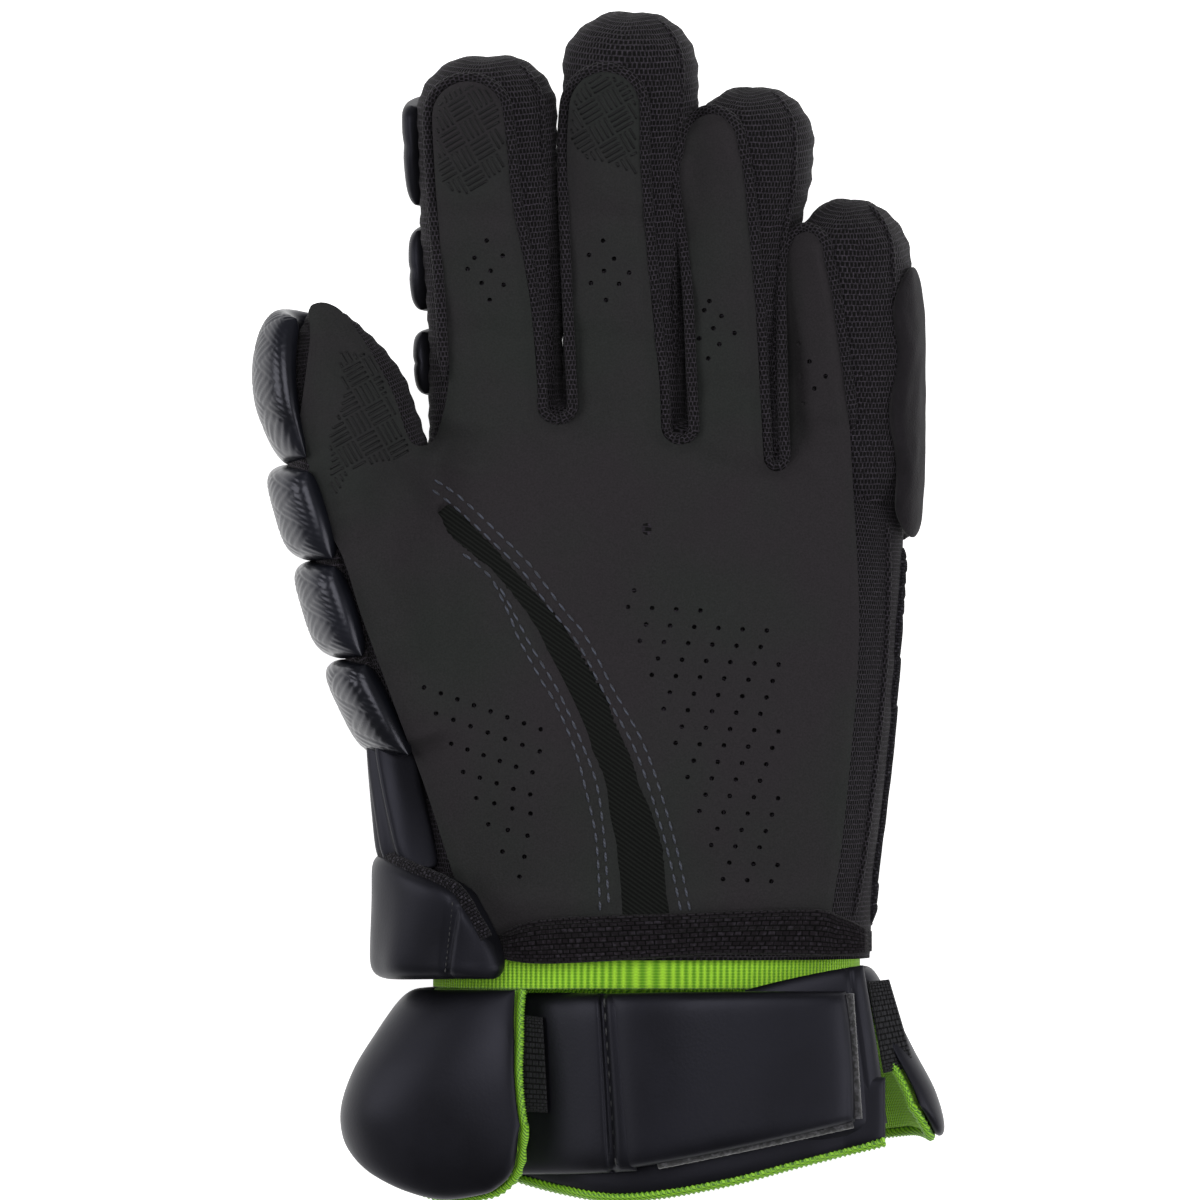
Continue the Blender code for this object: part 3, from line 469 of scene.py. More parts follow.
def twill():
    """Stretch twill: tight diagonal ridges about a millimetre apart, dark olive black."""
    made, tree, shader = blank("stretch_twill", 0.85, Specular_IOR_Level=0.12)
    plain = mapped(tree, "Object", (1.0, 1.0, 1.0))
    turned = add(tree, "Mapping", {"Vector": plain, "Rotation": (0, 0, 0.62)})
    ridges = add(tree, "TexWave", {"Vector": turned.outputs[0], "Scale": 1 / 0.0035, "Distortion": 0.3,
                                   "Detail": 1.0, "Detail Scale": 400.0}, bands_direction="Y")
    colour = ramp(tree, ridges.outputs["Fac"], 0.2, 0.9, "#090a09", "#171917")
    tree.links.new(colour, shader.inputs["Base Color"])
    bumped(tree, shader, ridges.outputs["Fac"], 0.0002, 0.8)
    return made


def coated_cover(name, dark, light, roughness, grain_size, grain_depth, coat):
    """Polyurethane-coated cover, pressed smooth: a soft sheen over a very fine skin grain."""
    made, tree, shader = blank(name, roughness, Coat_Weight=coat, Coat_Roughness=0.28,
                               Specular_IOR_Level=0.22, Specular_Tint=(0.78, 0.78, 1.0, 1.0))
    patches = speckle(tree, "Object", 0.022, 4.0)
    tree.links.new(ramp(tree, patches.outputs["Fac"], 0.35, 0.68, dark, light), shader.inputs["Base Color"])
    rough = add(tree, "MapRange", {"Value": patches.outputs["Fac"], "From Min": 0.3, "From Max": 0.7,
                                   "To Min": roughness * 0.88, "To Max": roughness * 1.12})
    tree.links.new(rough.outputs[0], shader.inputs["Roughness"])
    bumped(tree, shader, pebbles(tree, grain_size), grain_depth, 0.5)
    return made


def knit(name, dark, light, speck):
    """Rib knit: rows of small loops with heathered specks."""
    made, tree, shader = blank(name, 0.93, Sheen_Weight=0.05, Specular_IOR_Level=0.1)
    loops = bricks(tree, mapped(tree, "UV", (1.0, 1.0, 1.0)), 0.0014, 0.0009, 0.00022, 0.9, 1, 0.6, 0)
    specks = speckle(tree, "UV", 0.0009, 3.0)
    heather = ramp(tree, specks.outputs["Fac"], 0.50, 0.78, light, speck)
    shade = ramp(tree, loops.outputs["Color"], 0.05, 0.85, dark, "#ffffff")
    tree.links.new(times(tree, heather, shade), shader.inputs["Base Color"])
    bumped(tree, shader, loops.outputs["Color"], 0.00025, 0.9)
    return made


def lining_mesh():
    """Ribbed polyester lining: bright lime, with cords about a millimetre apart that shade each other."""
    made, tree, shader = blank("lime_lining", 0.80, Sheen_Weight=0.30, Specular_IOR_Level=0.3)
    ribs = add(tree, "TexWave", {"Vector": mapped(tree, "UV", (1.0, 1.0, 1.0)), "Scale": 1 / 0.0042,
                                 "Distortion": 0.6, "Detail": 2.0, "Detail Scale": 60.0}, bands_direction="X")
    cross = add(tree, "TexWave", {"Vector": mapped(tree, "UV", (1.0, 1.0, 1.0)), "Scale": 1 / 0.0030,
                                  "Distortion": 0.4}, bands_direction="Y")
    height = sum_of(tree, ribs.outputs["Fac"], cross.outputs["Fac"], 0.35)
    tree.links.new(ramp(tree, height, 0.15, 1.05, "#5d9c0e", "#a8e234"), shader.inputs["Base Color"])
    bumped(tree, shader, height, 0.00035, 0.9)
    return made


def webbing():
    """Elastic webbing: rubber cores in columns, bound by a dull black yarn."""
    made, tree, shader = blank("elastic_webbing", 0.80, Sheen_Weight=0.03, Specular_IOR_Level=0.15)
    yarn = bricks(tree, mapped(tree, "UV", (1.0, 1.0, 1.0)), 0.0018, 0.0011, 0.00025, 0.8, 1, 0.7, 0)
    colour = ramp(tree, yarn.outputs["Color"], 0.0, 1.0, "#0b0b0c", "#2d2d30")
    tree.links.new(colour, shader.inputs["Base Color"])
    bumped(tree, shader, yarn.outputs["Color"], 0.0003, 0.9)
    return made


def suede():
    """Synthetic suede: a short brushed nap that scatters light, with darker strokes."""
    made, tree, shader = blank("brushed_suede", 0.95, Sheen_Weight=0.05, Sheen_Roughness=0.6,
                               Specular_IOR_Level=0.15)
    strokes = add(tree, "TexNoise", {"Vector": mapped(tree, "Object", (0.006, 0.012, 0.006)), "Scale": 1.0,
                                     "Detail": 5.0, "Roughness": 0.7})
    colour = ramp(tree, strokes.outputs["Fac"], 0.3, 0.7, "#121013", "#1c191d")
    tree.links.new(colour, shader.inputs["Base Color"])
    bumped(tree, shader, speckle(tree, "Object", 0.0006, 3.0).outputs["Fac"], 0.00025, 0.8)
    return made


def thread(name, dark, light):
    """Bonded polyester thread: a slight gloss and a twist that shows as light and dark turns."""
    made, tree, shader = blank(name, 0.55, Sheen_Weight=0.1)
    twist = add(tree, "TexWave", {"Vector": mapped(tree, "Object", (1.0, 1.0, 1.0)), "Scale": 1 / 0.0016},
                bands_direction="DIAGONAL")
    tree.links.new(ramp(tree, twist.outputs["Fac"], 0.2, 0.8, dark, light), shader.inputs["Base Color"])
    return made


def hook_pile():
    """Hook tape and brushed loop: matt fibres, grey at their tips."""
    made, tree, shader = blank("hook_pile", 0.9, Sheen_Weight=0.4)
    tips = speckle(tree, "Object", 0.0011, 4.0).outputs["Fac"]
    tree.links.new(ramp(tree, tips, 0.45, 0.72, "#101012", "#4c4b50"), shader.inputs["Base Color"])
    bumped(tree, shader, tips, 0.0004, 0.9)
    return made


def printed_silicone():
    """Screen-printed silicone: a thin darker film with a little gloss."""
    made, tree, shader = blank("printed_silicone", 0.50, Specular_IOR_Level=0.2)
    wear = speckle(tree, "Object", 0.004, 4.0).outputs["Fac"]
    tree.links.new(ramp(tree, wear, 0.3, 0.7, "#0b0b0c", "#131314"), shader.inputs["Base Color"])
    return made


MATERIALS = {
    "leather": microfibre_leather(),
    "mesh": weave("knitted_mesh", 0.00105, 0.00135, "#060506", "#3d3840", 0.00030, 0.80, 0.00035),
    "twill": twill(),
    "knit": knit("rib_knit", "#3a3a3a", "#1b171b", "#37333a"),
    "binding": knit("edge_binding", "#202020", "#19171c", "#4a474f"),
    "pad": coated_cover("pad_cover", "#0d0d0f", "#151518", 0.50, 0.0012, 0.00008, 0.0),
    "gloss": coated_cover("embossed_cover", "#0a0b0f", "#14151b", 0.30, 0.0010, 0.00004, 0.28),
    "smooth": coated_cover("neoprene_skin", "#09090b", "#0f0f13", 0.46, 0.0009, 0.00003, 0.02),
    "suede": suede(),
    "webbing": webbing(),
    "lining": lining_mesh(),
    "seam_thread": thread("slate_thread", "#22252e", "#3b404f"),
    "dark_thread": thread("black_thread", "#0a0a0b", "#242427"),
    "lime_thread": thread("lime_thread", "#3c6f06", "#8fca24"),
    "hook": hook_pile(),
    "print": printed_silicone(),
}


# The surfaces that everything is laid over

def squared(value, squareness):
    """A sine or cosine pushed towards its ends, so that a round section turns squarer."""
    return (1 if value >= 0 else -1) * abs(value) ** (2 / squareness)


def palm_place(across, along, height=0.0):
    """A point from shares of the palm's width and length."""
    return Vector((PALM_CENTRE_X + across * PALM_WIDTH, WRIST_Y + along * PALM_LENGTH, height))


def palm_relief(x, y):
    """How far the heel, the thumb's mound and the hollow between them raise the palm."""
    rise = 0.0
    for across, along, height, spread in PALM_MOUNDS:
        centre = palm_place(across, along)
        rise += height * HAND_DEPTH * bell(hypot(x - centre.x, y - centre.y), spread * PALM_WIDTH)
    return rise


def hand_point(along, angle, grow=0.0):
    """A point of the hand: a share of the palm's length, and an angle in degrees round the section."""
    turn = radians(angle)
    left, right, low, roof, slant = row_at(HAND_SECTIONS, along)
    x0 = PALM_CENTRE_X + left * PALM_WIDTH - grow
    x1 = PALM_CENTRE_X + right * PALM_WIDTH + grow
    z0 = HAND_FLOOR + low * HAND_DEPTH - grow
    z1 = HAND_FLOOR + roof * HAND_DEPTH + grow
    x = (x0 + x1) / 2 + (x1 - x0) / 2 * squared(cos(turn), HAND_SQUARENESS)
    z = (z0 + z1) / 2 + (z1 - z0) / 2 * squared(sin(turn), HAND_SQUARENESS)
    y = WRIST_Y + along * PALM_LENGTH + slant * (x - PALM_CENTRE_X)
    if sin(turn) > 0:
        z += palm_relief(x, y) * sin(turn)
    return Vector((x, y, z))


class Finger:
    """A finger's tube: a straight run along a slightly lifting line, then a rounded tip."""

    def __init__(self, name):
        row = FINGERS[name]
        thumb = name == "thumb"
        self.depth = THUMB_DEPTH if thumb else FINGER_DEPTH
        self.width = THUMB_WIDTH if thumb else FINGER_WIDTH
        self.cap = THUMB_CAP if thumb else FINGER_CAP
        self.taper = 1.7 if thumb else 1.0
        rise = THUMB_RISE if thumb else 0.0
        self.base = palm_place(row["across"], row["along"], FINGER_FLOOR + self.depth / 2 + rise)
        self.way = Vector((row["lean"], 1.0, 0.0)).normalized()
        self.side = self.way.cross(Vector((0, 0, 1)))
        self.length = row["length"]
        self.sections = row["sections"]
        self.roll = radians(row["roll"])
        self.lift = row["lift"] * CURL_LIFT

    def point(self, station, angle, grow=0.0, spread=1.0):
        """A point of the tube. Stations 0 to 1 are the straight run, 1 to 2 the tip. The angle is in degrees,
        0 towards the side away from the thumb and 90 towards the palm."""
        turn = radians(angle)
        swell = max(0.0, station - 1.0) * pi / 2
        along = min(station, 1.0) * (self.length - self.cap) + (self.cap + grow) * sin(swell)
        share = along / self.length
        shift, width = row_at(self.sections, min(share, self.sections[-1][0]))
        shrink = max(0.0, cos(swell)) ** self.taper
        half = width * self.width / 2 * shrink + grow * spread * cos(swell)
        across = half * squared(cos(turn), FINGER_SQUARENESS)
        up = (self.depth / 2 * shrink + grow * cos(swell)) * squared(sin(turn), FINGER_SQUARENESS)
        sideways = across * cos(self.roll) - up * sin(self.roll)
        upwards = across * sin(self.roll) + up * cos(self.roll)
        centre = self.base + self.way * along + Vector((0, 0, self.lift * share * share))
        centre += self.side * shift * self.width
        tilt = Vector((0, 0, 1)) - self.way * (2 * self.lift * share / self.length)
        return centre + self.side * sideways + tilt.normalized() * upwards


FORMS = {name: Finger(name) for name in FINGERS}


def cuff_point(along, angle, grow=0.0):
    """A point of the cuff's outside: a share of its length, and an angle in degrees."""
    turn = radians(angle)
    left, right, low, roof, lean = row_at(CUFF_SECTIONS, along)
    x0 = CUFF_CENTRE_X + left * CUFF_WIDTH - grow
    x1 = CUFF_CENTRE_X + right * CUFF_WIDTH + grow
    z0 = low * CUFF_DEPTH - grow
    z1 = roof * CUFF_DEPTH + grow
    x = (x0 + x1) / 2 + (x1 - x0) / 2 * squared(cos(turn), CUFF_SQUARENESS)
    z = (z0 + z1) / 2 + (z1 - z0) / 2 * squared(sin(turn), CUFF_SQUARENESS)
    if cos(turn) > 0:
        x += lean * max(0.0, z)
    start = row_at(CUFF_BEGIN, angle)[0] * CUFF_START - CUFF_SLANT * max(0.0, x - CUFF_CENTRE_X)
    return Vector((x, WRIST_Y - max(start, CUFF_CLEARANCE) - along * CUFF_LENGTH, z))


def cuff_wall(s, t, depth):
    """A point of the cuff: s along its arc and t along its length, from 0 to 1, at a depth inside it."""
    first, last = CUFF_ARC
    angle = first + (last - first) * s
    along = t * row_at(CUFF_END, angle)[0]
    lap = row_at(CUFF_LAP, along)[0]
    slim = CUFF_SLIM * max(0.0, min(1.0, (angle - 300) / 60))
    return cuff_point(along, lap + (last - lap) * s, slim * min(CUFF_WALL, depth) - depth)


def strap_height(x):
    """The height of the strap's underside over the open wrist."""
    return row_at(STRAP_HEIGHTS, (x - STRAP_LEFT_X) / STRAP_LENGTH)[0] * CUFF_DEPTH


# Making pieces

def grid(columns, rows, size=(1.0, 1.0)):
    """A flat bmesh grid from 0 to 1 each way, its UV map in metres of size."""
    bm = bmesh.new()
    uv = bm.loops.layers.uv.new("UVMap")
    bmesh.ops.create_grid(bm, x_segments=columns, y_segments=rows, size=0.5)
    bmesh.ops.translate(bm, vec=(0.5, 0.5, 0), verts=bm.verts)
    for face in bm.faces:
        for loop in face.loops:
            loop[uv].uv = (loop.vert.co.x * size[0], loop.vert.co.y * size[1])
    return bm


def piece(name, bm, material, smooth=True):
    """The bmesh as a finished piece that rides on the glove."""
    mesh = bpy.data.meshes.new(name)
    bm.to_mesh(mesh)
    bm.free()
    made = bpy.data.objects.new(name, mesh)
    bpy.context.scene.collection.objects.link(made)
    mesh.materials.append(MATERIALS[material])
    if smooth:
        mesh.shade_smooth()
    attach(made, "root")
    return made


def wall(made, thickness, offset=-1.0):
    """Gives a sheet its thickness, inwards unless offset says otherwise."""
    step = made.modifiers.new("wall", "SOLIDIFY")
    step.thickness = thickness
    step.offset = offset
    step.use_even_offset = False
    return made


def settle(made):
    """Applies the piece's modifiers to its mesh."""
    graph = bpy.context.evaluated_depsgraph_get()
    mesh = bpy.data.meshes.new_from_object(made.evaluated_get(graph))
    made.modifiers.clear()
    made.data = mesh
    return made


def tree_of(made):
    """The piece's faces, ready for rays."""
    mesh = made.data
    return BVHTree.FromPolygons([v.co for v in mesh.vertices], [p.vertices for p in mesh.polygons])


class Ground:
    """What a draped piece lies on."""

    def __init__(self, *pieces):
        self.trees = [tree_of(made) for made in pieces]

    def height(self, x, y, otherwise=None):
        """The highest surface over a place, or otherwise."""
        found = otherwise
        for tree in self.trees:
            hit = tree.ray_cast(Vector((x, y, 0.2)), Vector((0, 0, -1)))[0]
            if hit and (found is None or hit.z > found):
                found = hit.z
        return found

    def frame_at(self, x, y, reach=0.0008):
        """A point on the ground with its normal."""
        z = self.height(x, y, 0.03)
        ahead = self.height(x + reach, y, z) - self.height(x - reach, y, z)
        aside = self.height(x, y + reach, z) - self.height(x, y - reach, z)
        normal = Vector((-ahead, -aside, 2 * reach)).normalized()
        return Vector((x, y, z)), normal


def crown(s, t, power=6.0):
    """1 over the middle of a pad, falling in a round edge to 0 at its rim, for s and t from -1 to 1."""
    return sqrt(max(0.0, 1 - abs(s) ** power)) * sqrt(max(0.0, 1 - abs(t) ** power))


def skin_share(edge, side, swell, bulge=0.0):
    """How far through a pad's depth its skin lies, where its seam is at the share edge."""
    return edge + (1 - edge + bulge) * swell if side else edge * (1 - min(1.0, 2.5 * swell))


def pad(name, point, columns, rows, material, rounding=0.22, relief=None, size=(1.0, 1.0), power=6.0):
    """A stuffed piece. point(s, t, side, swell) places its skins: s and t run from 0 to 1, side is 1 for the
    outer skin and 0 for the inner one, and swell is how far the pad stands there, from 0 to 1."""
    bm = grid(columns, rows, size)
    outer = list(bm.verts)
    copied = bmesh.ops.duplicate(bm, geom=bm.verts[:] + bm.edges[:] + bm.faces[:])["geom"]
    bmesh.ops.reverse_faces(bm, faces=[item for item in copied if isinstance(item, bmesh.types.BMFace)])
    inner = [item for item in copied if isinstance(item, bmesh.types.BMVert)]
    for side, verts in ((1, outer), (0, inner)):
        for vert in verts:
            s = sin(pi * (vert.co.x - 0.5))
            t = sin(pi * (vert.co.y - 0.5))
            swell = crown(s, t, power)
            across = s * sqrt(1 - rounding * t * t)
            along = t * sqrt(1 - rounding * s * s)
            if side and relief:
                swell += relief(across, along) * min(1.0, 3 * swell)
            vert.co = point((across + 1) / 2, (along + 1) / 2, side, swell)
    bmesh.ops.remove_doubles(bm, verts=bm.verts, dist=1e-6)
    bmesh.ops.recalc_face_normals(bm, faces=bm.faces)
    made = piece(name, bm, material)
    return made


def chain(name, places, length, width, height, material):
    """Stitches or beads: one small rounded body at each place, which is a point, a direction and a normal."""
    bm = bmesh.new()
    for point, way, normal in places:
        side = normal.cross(way).normalized()
        up = way.cross(side).normalized()
        axes = Matrix((way.normalized() * length / 2, side * width / 2, up * height / 2))
        turned = axes.transposed().to_4x4() @ Matrix.Rotation(pi / 2, 4, "Y")
        bmesh.ops.create_uvsphere(bm, u_segments=7, v_segments=5, radius=1.0,
                                  matrix=Matrix.Translation(point) @ turned)
    return piece(name, bm, material)


def along_path(points, pitch):
    """Places a pitch apart along a path, each with its direction."""
    out = []
    travelled, due = 0.0, pitch / 2
    for a, b in zip(points, points[1:]):
        span = (b - a).length
        while due <= travelled + span and span > 0:
            out.append((a.lerp(b, (due - travelled) / span), (b - a).normalized()))
            due += pitch
        travelled += span
    return out


def sewn(name, rows, ground, pitch, length, width, material, lift=0.0001):
    """Rows of stitches lying on the ground, each row a list of points in plan."""
    places = []
    for row in rows:
        for point, way in along_path(row, pitch):
            spot, normal = ground.frame_at(point.x, point.y)
            flat = (way - normal * way.dot(normal)).normalized()
            places.append((spot + normal * lift, flat, normal))
    return chain(name, places, length, width, width * 0.75, material)


# Mesh, liner and lining

def make_finger_meshes():
    """The five mesh tubes, with faint gathers, their seams at the back."""
    made = []
    for name, form in FORMS.items():
        body = form.length - form.cap
        total = body + form.cap * pi / 2
        root = FINGER_FOOT if name != "thumb" else THUMB_FOOT

        def point(s, t, name=name, form=form, body=body, total=total, root=root):
            run = root * body + t * (total - root * body)
            station = run / body if run < body else 1 + (run - body) / (form.cap * pi / 2)
            spot = form.point(min(station, 2.0), 360 * s - 90)
            if name != "thumb":
                spot.z -= FOOT_SINK * max(0.0, 0.03 - station)
            out = (spot - form.point(min(station, 2.0), 360 * s - 90, -0.001)) * 1000
            gather = GATHER_DEPTH * sin(run * 1150 + 2.0 * sin(s * 12.0)) * abs(sin(2 * pi * s)) ** 2
            gather += 0.0009 * noise.noise(spot * 42) + 0.0004 * noise.noise(spot * 130)
            fade = min(1.0, 4 * (2.0 - min(station, 2.0)))
            return spot + out * fade * (gather + TUBE_SIDE_SWELL * abs(cos(2 * pi * (s - 0.25))))

        bm = grid(60, round(total / 0.0012), (0.105, total))
        for vert in bm.verts:
            vert.co = point(vert.co.x, vert.co.y)
        bmesh.ops.remove_doubles(bm, verts=bm.verts, dist=1e-5)
        bmesh.ops.reverse_faces(bm, faces=bm.faces)
        tube = piece(name + "_mesh_tube", bm, "mesh")
        wall(tube, MESH_WALL)
        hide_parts(name + ("_shell" if name == "thumb" else "_gusset"))
        made.append(tube)
    return made


def make_hand_mesh():
    """The mesh and liner round the hand, open at the wrist and rounded in at the knuckles."""
    last = HAND_SECTIONS[-1][0]
    bm = grid(110, 96, (0.300, 0.165))
    for vert in bm.verts:
        angle, t = 360 * vert.co.x - 90, vert.co.y
        if t < KNUCKLE_TURN:
            vert.co = hand_point(last * t / KNUCKLE_TURN, angle)
        else:
            turn = (t - KNUCKLE_TURN) / (1 - KNUCKLE_TURN) * pi / 2
            rim = hand_point(last, angle)
            middle = (hand_point(last, 90) + hand_point(last, 270)) / 2
            vert.co = middle + (rim - middle) * cos(turn)
            vert.co.y = rim.y * cos(turn) + middle.y * (1 - cos(turn)) + 0.004 * sin(turn)
    bmesh.ops.remove_doubles(bm, verts=bm.verts, dist=1e-5)
    bmesh.ops.reverse_faces(bm, faces=bm.faces)
    made = wall(piece("hand_mesh", bm, "mesh"), MESH_WALL)
    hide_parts("hand_shell")
    return made


def make_linings():
    """The lime lining of the cuff, and its continuation inside the wrist."""
    bm = grid(170, 40, (0.330, 0.055))
    for vert in bm.verts:
        s, t = vert.co.x, vert.co.y
        vert.co = cuff_wall(0.006 + 0.988 * s, 0.97 * t, CUFF_WALL + 0.0006)
    bmesh.ops.reverse_faces(bm, faces=bm.faces)
    cuff = wall(piece("cuff_mesh_lining", bm, "lining"), LINING, offset=1.0)
    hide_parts("cuff_lining")
    bm = grid(150, 50, (0.300, 0.070))
    for vert in bm.verts:
        vert.co = hand_point(-0.055 + 0.42 * vert.co.y, 360 * vert.co.x - 90, -MESH_WALL - 0.0005)
    bmesh.ops.remove_doubles(bm, verts=bm.verts, dist=1e-5)
    bmesh.ops.reverse_faces(bm, faces=bm.faces)
    wrist = wall(piece("wrist_mesh_lining", bm, "lining"), LINING)


# The leather palm

def strip_side(rows, side, lowest):
    """The pixels of one edge of a finger's strip, above a lowest y. side is the row's column."""
    return [(row[side], row[0]) for row in rows if row[0] < lowest]


def half_round(left, right, start, end, steps=7):
    """The pixels of a half ellipse from left to right, from y start out to y end."""
    middle, half = (left + right) / 2, (right - left) / 2
    return [(middle - half * cos(pi * k / steps), start + (end - start) * sin(pi * k / steps))
            for k in range(steps + 1)]


def finger_edge():
    """The pixels of the leather's edge over the fingers, from the index finger's foot to the last one's."""
    pixels = []
    for i, (top, rows) in enumerate(STRIPS.values()):
        lowest_left = CROTCHES[i - 1][2] if i else 400
        lowest_right = CROTCHES[i][2] if i < len(CROTCHES) else 470
        pixels += reversed(strip_side(rows, 1, lowest_left))
        pixels += half_round(rows[0][1], rows[0][2], rows[0][0], top)[1:-1]
        pixels += strip_side(rows, 2, lowest_right)
        if i < len(CROTCHES):
            pixels += half_round(*CROTCHES[i])
    return pixels


def palm_outline():
    """The leather's outline in metres, down the thumb's inner side, over the fingers and round the heel."""
    pixels = [*THUMB_RIGHT, *finger_edge(), *PALM_RIGHT, *PALM_FOOT, *PALM_LEFT]
    return curve_through([place(*p) for p in pixels], 0.0006, closed=True)


def crease_outline(inset=0.0):
    """The crease opening's outline in metres, drawn in by an inset."""
    line = curve_through([place(x, y, half * PIXEL) for x, y, half in CREASE], 0.002)
    left, right = [], []
    for i, spot in enumerate(line):
        way = line[min(len(line) - 1, i + 1)] - line[max(0, i - 1)]
        side = Vector((-way.y, way.x, 0)).normalized()
        half = max(spot.z - inset, 0.0001)
        flat = Vector((spot.x, spot.y, 0))
        left.append(flat + side * half)
        right.append(flat - side * half)
    return left + right[::-1]


def trimmed_grid(outline, holes, step):
    """A flat grid cut to an outline and round other outlines, its edge drawn onto them."""
    xs = [p.x for p in outline]
    ys = [p.y for p in outline]
    low, high = Vector((min(xs) - step, min(ys) - step, 0)), Vector((max(xs) + step, max(ys) + step, 0))
    bm = grid(round((high.x - low.x) / step), round((high.y - low.y) / step))
    for vert in bm.verts:
        vert.co = Vector((low.x + vert.co.x * (high.x - low.x), low.y + vert.co.y * (high.y - low.y), 0))
    kept = {v for v in bm.verts
            if inside(v.co.x, v.co.y, outline) and not any(inside(v.co.x, v.co.y, hole) for hole in holes)}
    out = [face for face in bm.faces if sum(v in kept for v in face.verts) < 3]
    bmesh.ops.delete(bm, geom=out, context="FACES")
    border = [p for edge in (outline, *holes) for p in edge]
    finder = kdtree.KDTree(len(border))
    for i, p in enumerate(border):
        finder.insert((p.x, p.y, 0), i)
    finder.balance()
    for vert in bm.verts:
        if vert.is_boundary:
            vert.co = finder.find(vert.co)[0]
    bmesh.ops.remove_doubles(bm, verts=bm.verts, dist=0.00012)
    return bm, finder


def drape(bm, ground, lift, rounds, otherwise):
    """Lets a flat bmesh down onto the ground and pulls it taut over the hollows."""
    floor_of = {}
    for vert in bm.verts:
        floor_of[vert] = ground.height(vert.co.x, vert.co.y, otherwise) + lift
        vert.co.z = floor_of[vert]
    for _ in range(rounds):
        bmesh.ops.smooth_vert(bm, verts=bm.verts, factor=0.5, use_axis_z=True)
        for vert in bm.verts:
            vert.co.z = max(vert.co.z, floor_of[vert])
    bmesh.ops.smooth_vert(bm, verts=bm.verts, factor=0.5, use_axis_z=True)


def heel_holes():
    """The heel's field of holes: staggered rows that drift to the right and fall a little."""
    out = []
    (x0, y0), (dx, dy), (drift, fall) = HEEL_HOLE_START, HEEL_HOLE_STEP, HEEL_HOLE_DRIFT
    for row in range(HEEL_HOLE_ROWS):
        for column in range(HEEL_HOLE_COLUMNS):
            x = x0 + drift * row + dx * (column - 1.5 + 0.5 * (row % 2))
            y = y0 + dy * row + fall * (x - x0)
            if inside(x, y, HEEL_HOLE_FIELD):
                out.append((x, y))
    return out


def all_holes():
    """The places of every hole in the palm."""
    places = list(FINGER_HOLES) + heel_holes()
    for x, y, count, dx, dy in THUMB_SIDE_HOLES:
        places += [(x + dx * k, y + dy * k) for k in range(count)]
    return [place(*p) for p in places]


def make_palm(ground):
    """The leather palm, draped over the hand and fingers, with its folds, tucked edges and punched holes."""
    outline = palm_outline()
    opening = crease_outline()
    bm, border = trimmed_grid(outline, [opening], 0.0010)
    drape(bm, ground, LEATHER_REST + LEATHER, 40, BARE_HEIGHT)
    folds = []
    for x0, y0, x1, y1, width, height in FOLDS:
        a, b = place(x0, y0), place(x1, y1)
        folds.append((a.x, a.y, b.x, b.y, width / 1000, height / 1000))
    rows = [curve_through([place(*p) for p in row], 0.0008) for row in STITCH_ROWS]
    seam_finder = kdtree.KDTree(sum(len(row) for row in rows))
    for i, p in enumerate(p for row in rows for p in row):
        seam_finder.insert(p, i)
    seam_finder.balance()
    for vert in bm.verts:
        x, y = vert.co.x, vert.co.y
        flat = Vector((x, y, 0))
        rise = sum(h * bell(off_line(x, y, x0, y0, x1, y1), w) for x0, y0, x1, y1, w, h in folds)
        edge = border.find(flat)[2]
        rise -= 0.0010 * bell(edge, 0.0013)
        rise += 0.00018 * bell(edge - 0.0030, 0.0016)
        near, _, off = seam_finder.find(flat)
        rise -= 0.00028 * bell(off, 0.0009) * (0.7 + 0.3 * sin(near.y * 2 * pi / 0.0034))
        rise += 0.00030 * noise.noise(flat * 90)
        vert.co.z += rise
    bmesh.ops.smooth_vert(bm, verts=[v for v in bm.verts if v.is_boundary], factor=0.4, use_axis_z=True)
    made = piece("palm_leather_skin", bm, "leather")
    wall(made, LEATHER)
    punch = bmesh.new()
    for spot in all_holes():
        z = ground.height(spot.x, spot.y, 0.05) + 0.001
        bmesh.ops.create_cone(punch, cap_ends=True, segments=10, radius1=HOLE_RADIUS, radius2=HOLE_RADIUS,
                              depth=0.008, matrix=Matrix.Translation((spot.x, spot.y, z)))
    mesh = bpy.data.meshes.new("punch")
    punch.to_mesh(mesh)
    punch.free()
    cutter = bpy.data.objects.new("punch", mesh)
    bpy.context.scene.collection.objects.link(cutter)
    step = made.modifiers.new("holes", "BOOLEAN")
    step.operation = "DIFFERENCE"
    step.solver = "EXACT"
    step.object = cutter
    settle(made)
    bpy.data.objects.remove(cutter)
    made.data.materials.clear()
    made.data.materials.append(MATERIALS["leather"])
    made.data.shade_smooth()
    made.data.set_sharp_from_angle(angle=radians(48))
    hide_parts("palm_leather")
    return made, rows


def make_crease_strip(ground):
    """The twill strip that lets the thumb's crease stretch, a little below the leather."""
    bm, _ = trimmed_grid(crease_outline(-0.0016), [], 0.0009)
    drape(bm, ground, 0.0005, 25, BARE_HEIGHT)
    made = wall(piece("crease_twill", bm, "twill"), 0.0006, offset=1.0)
    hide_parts("crease_strip")


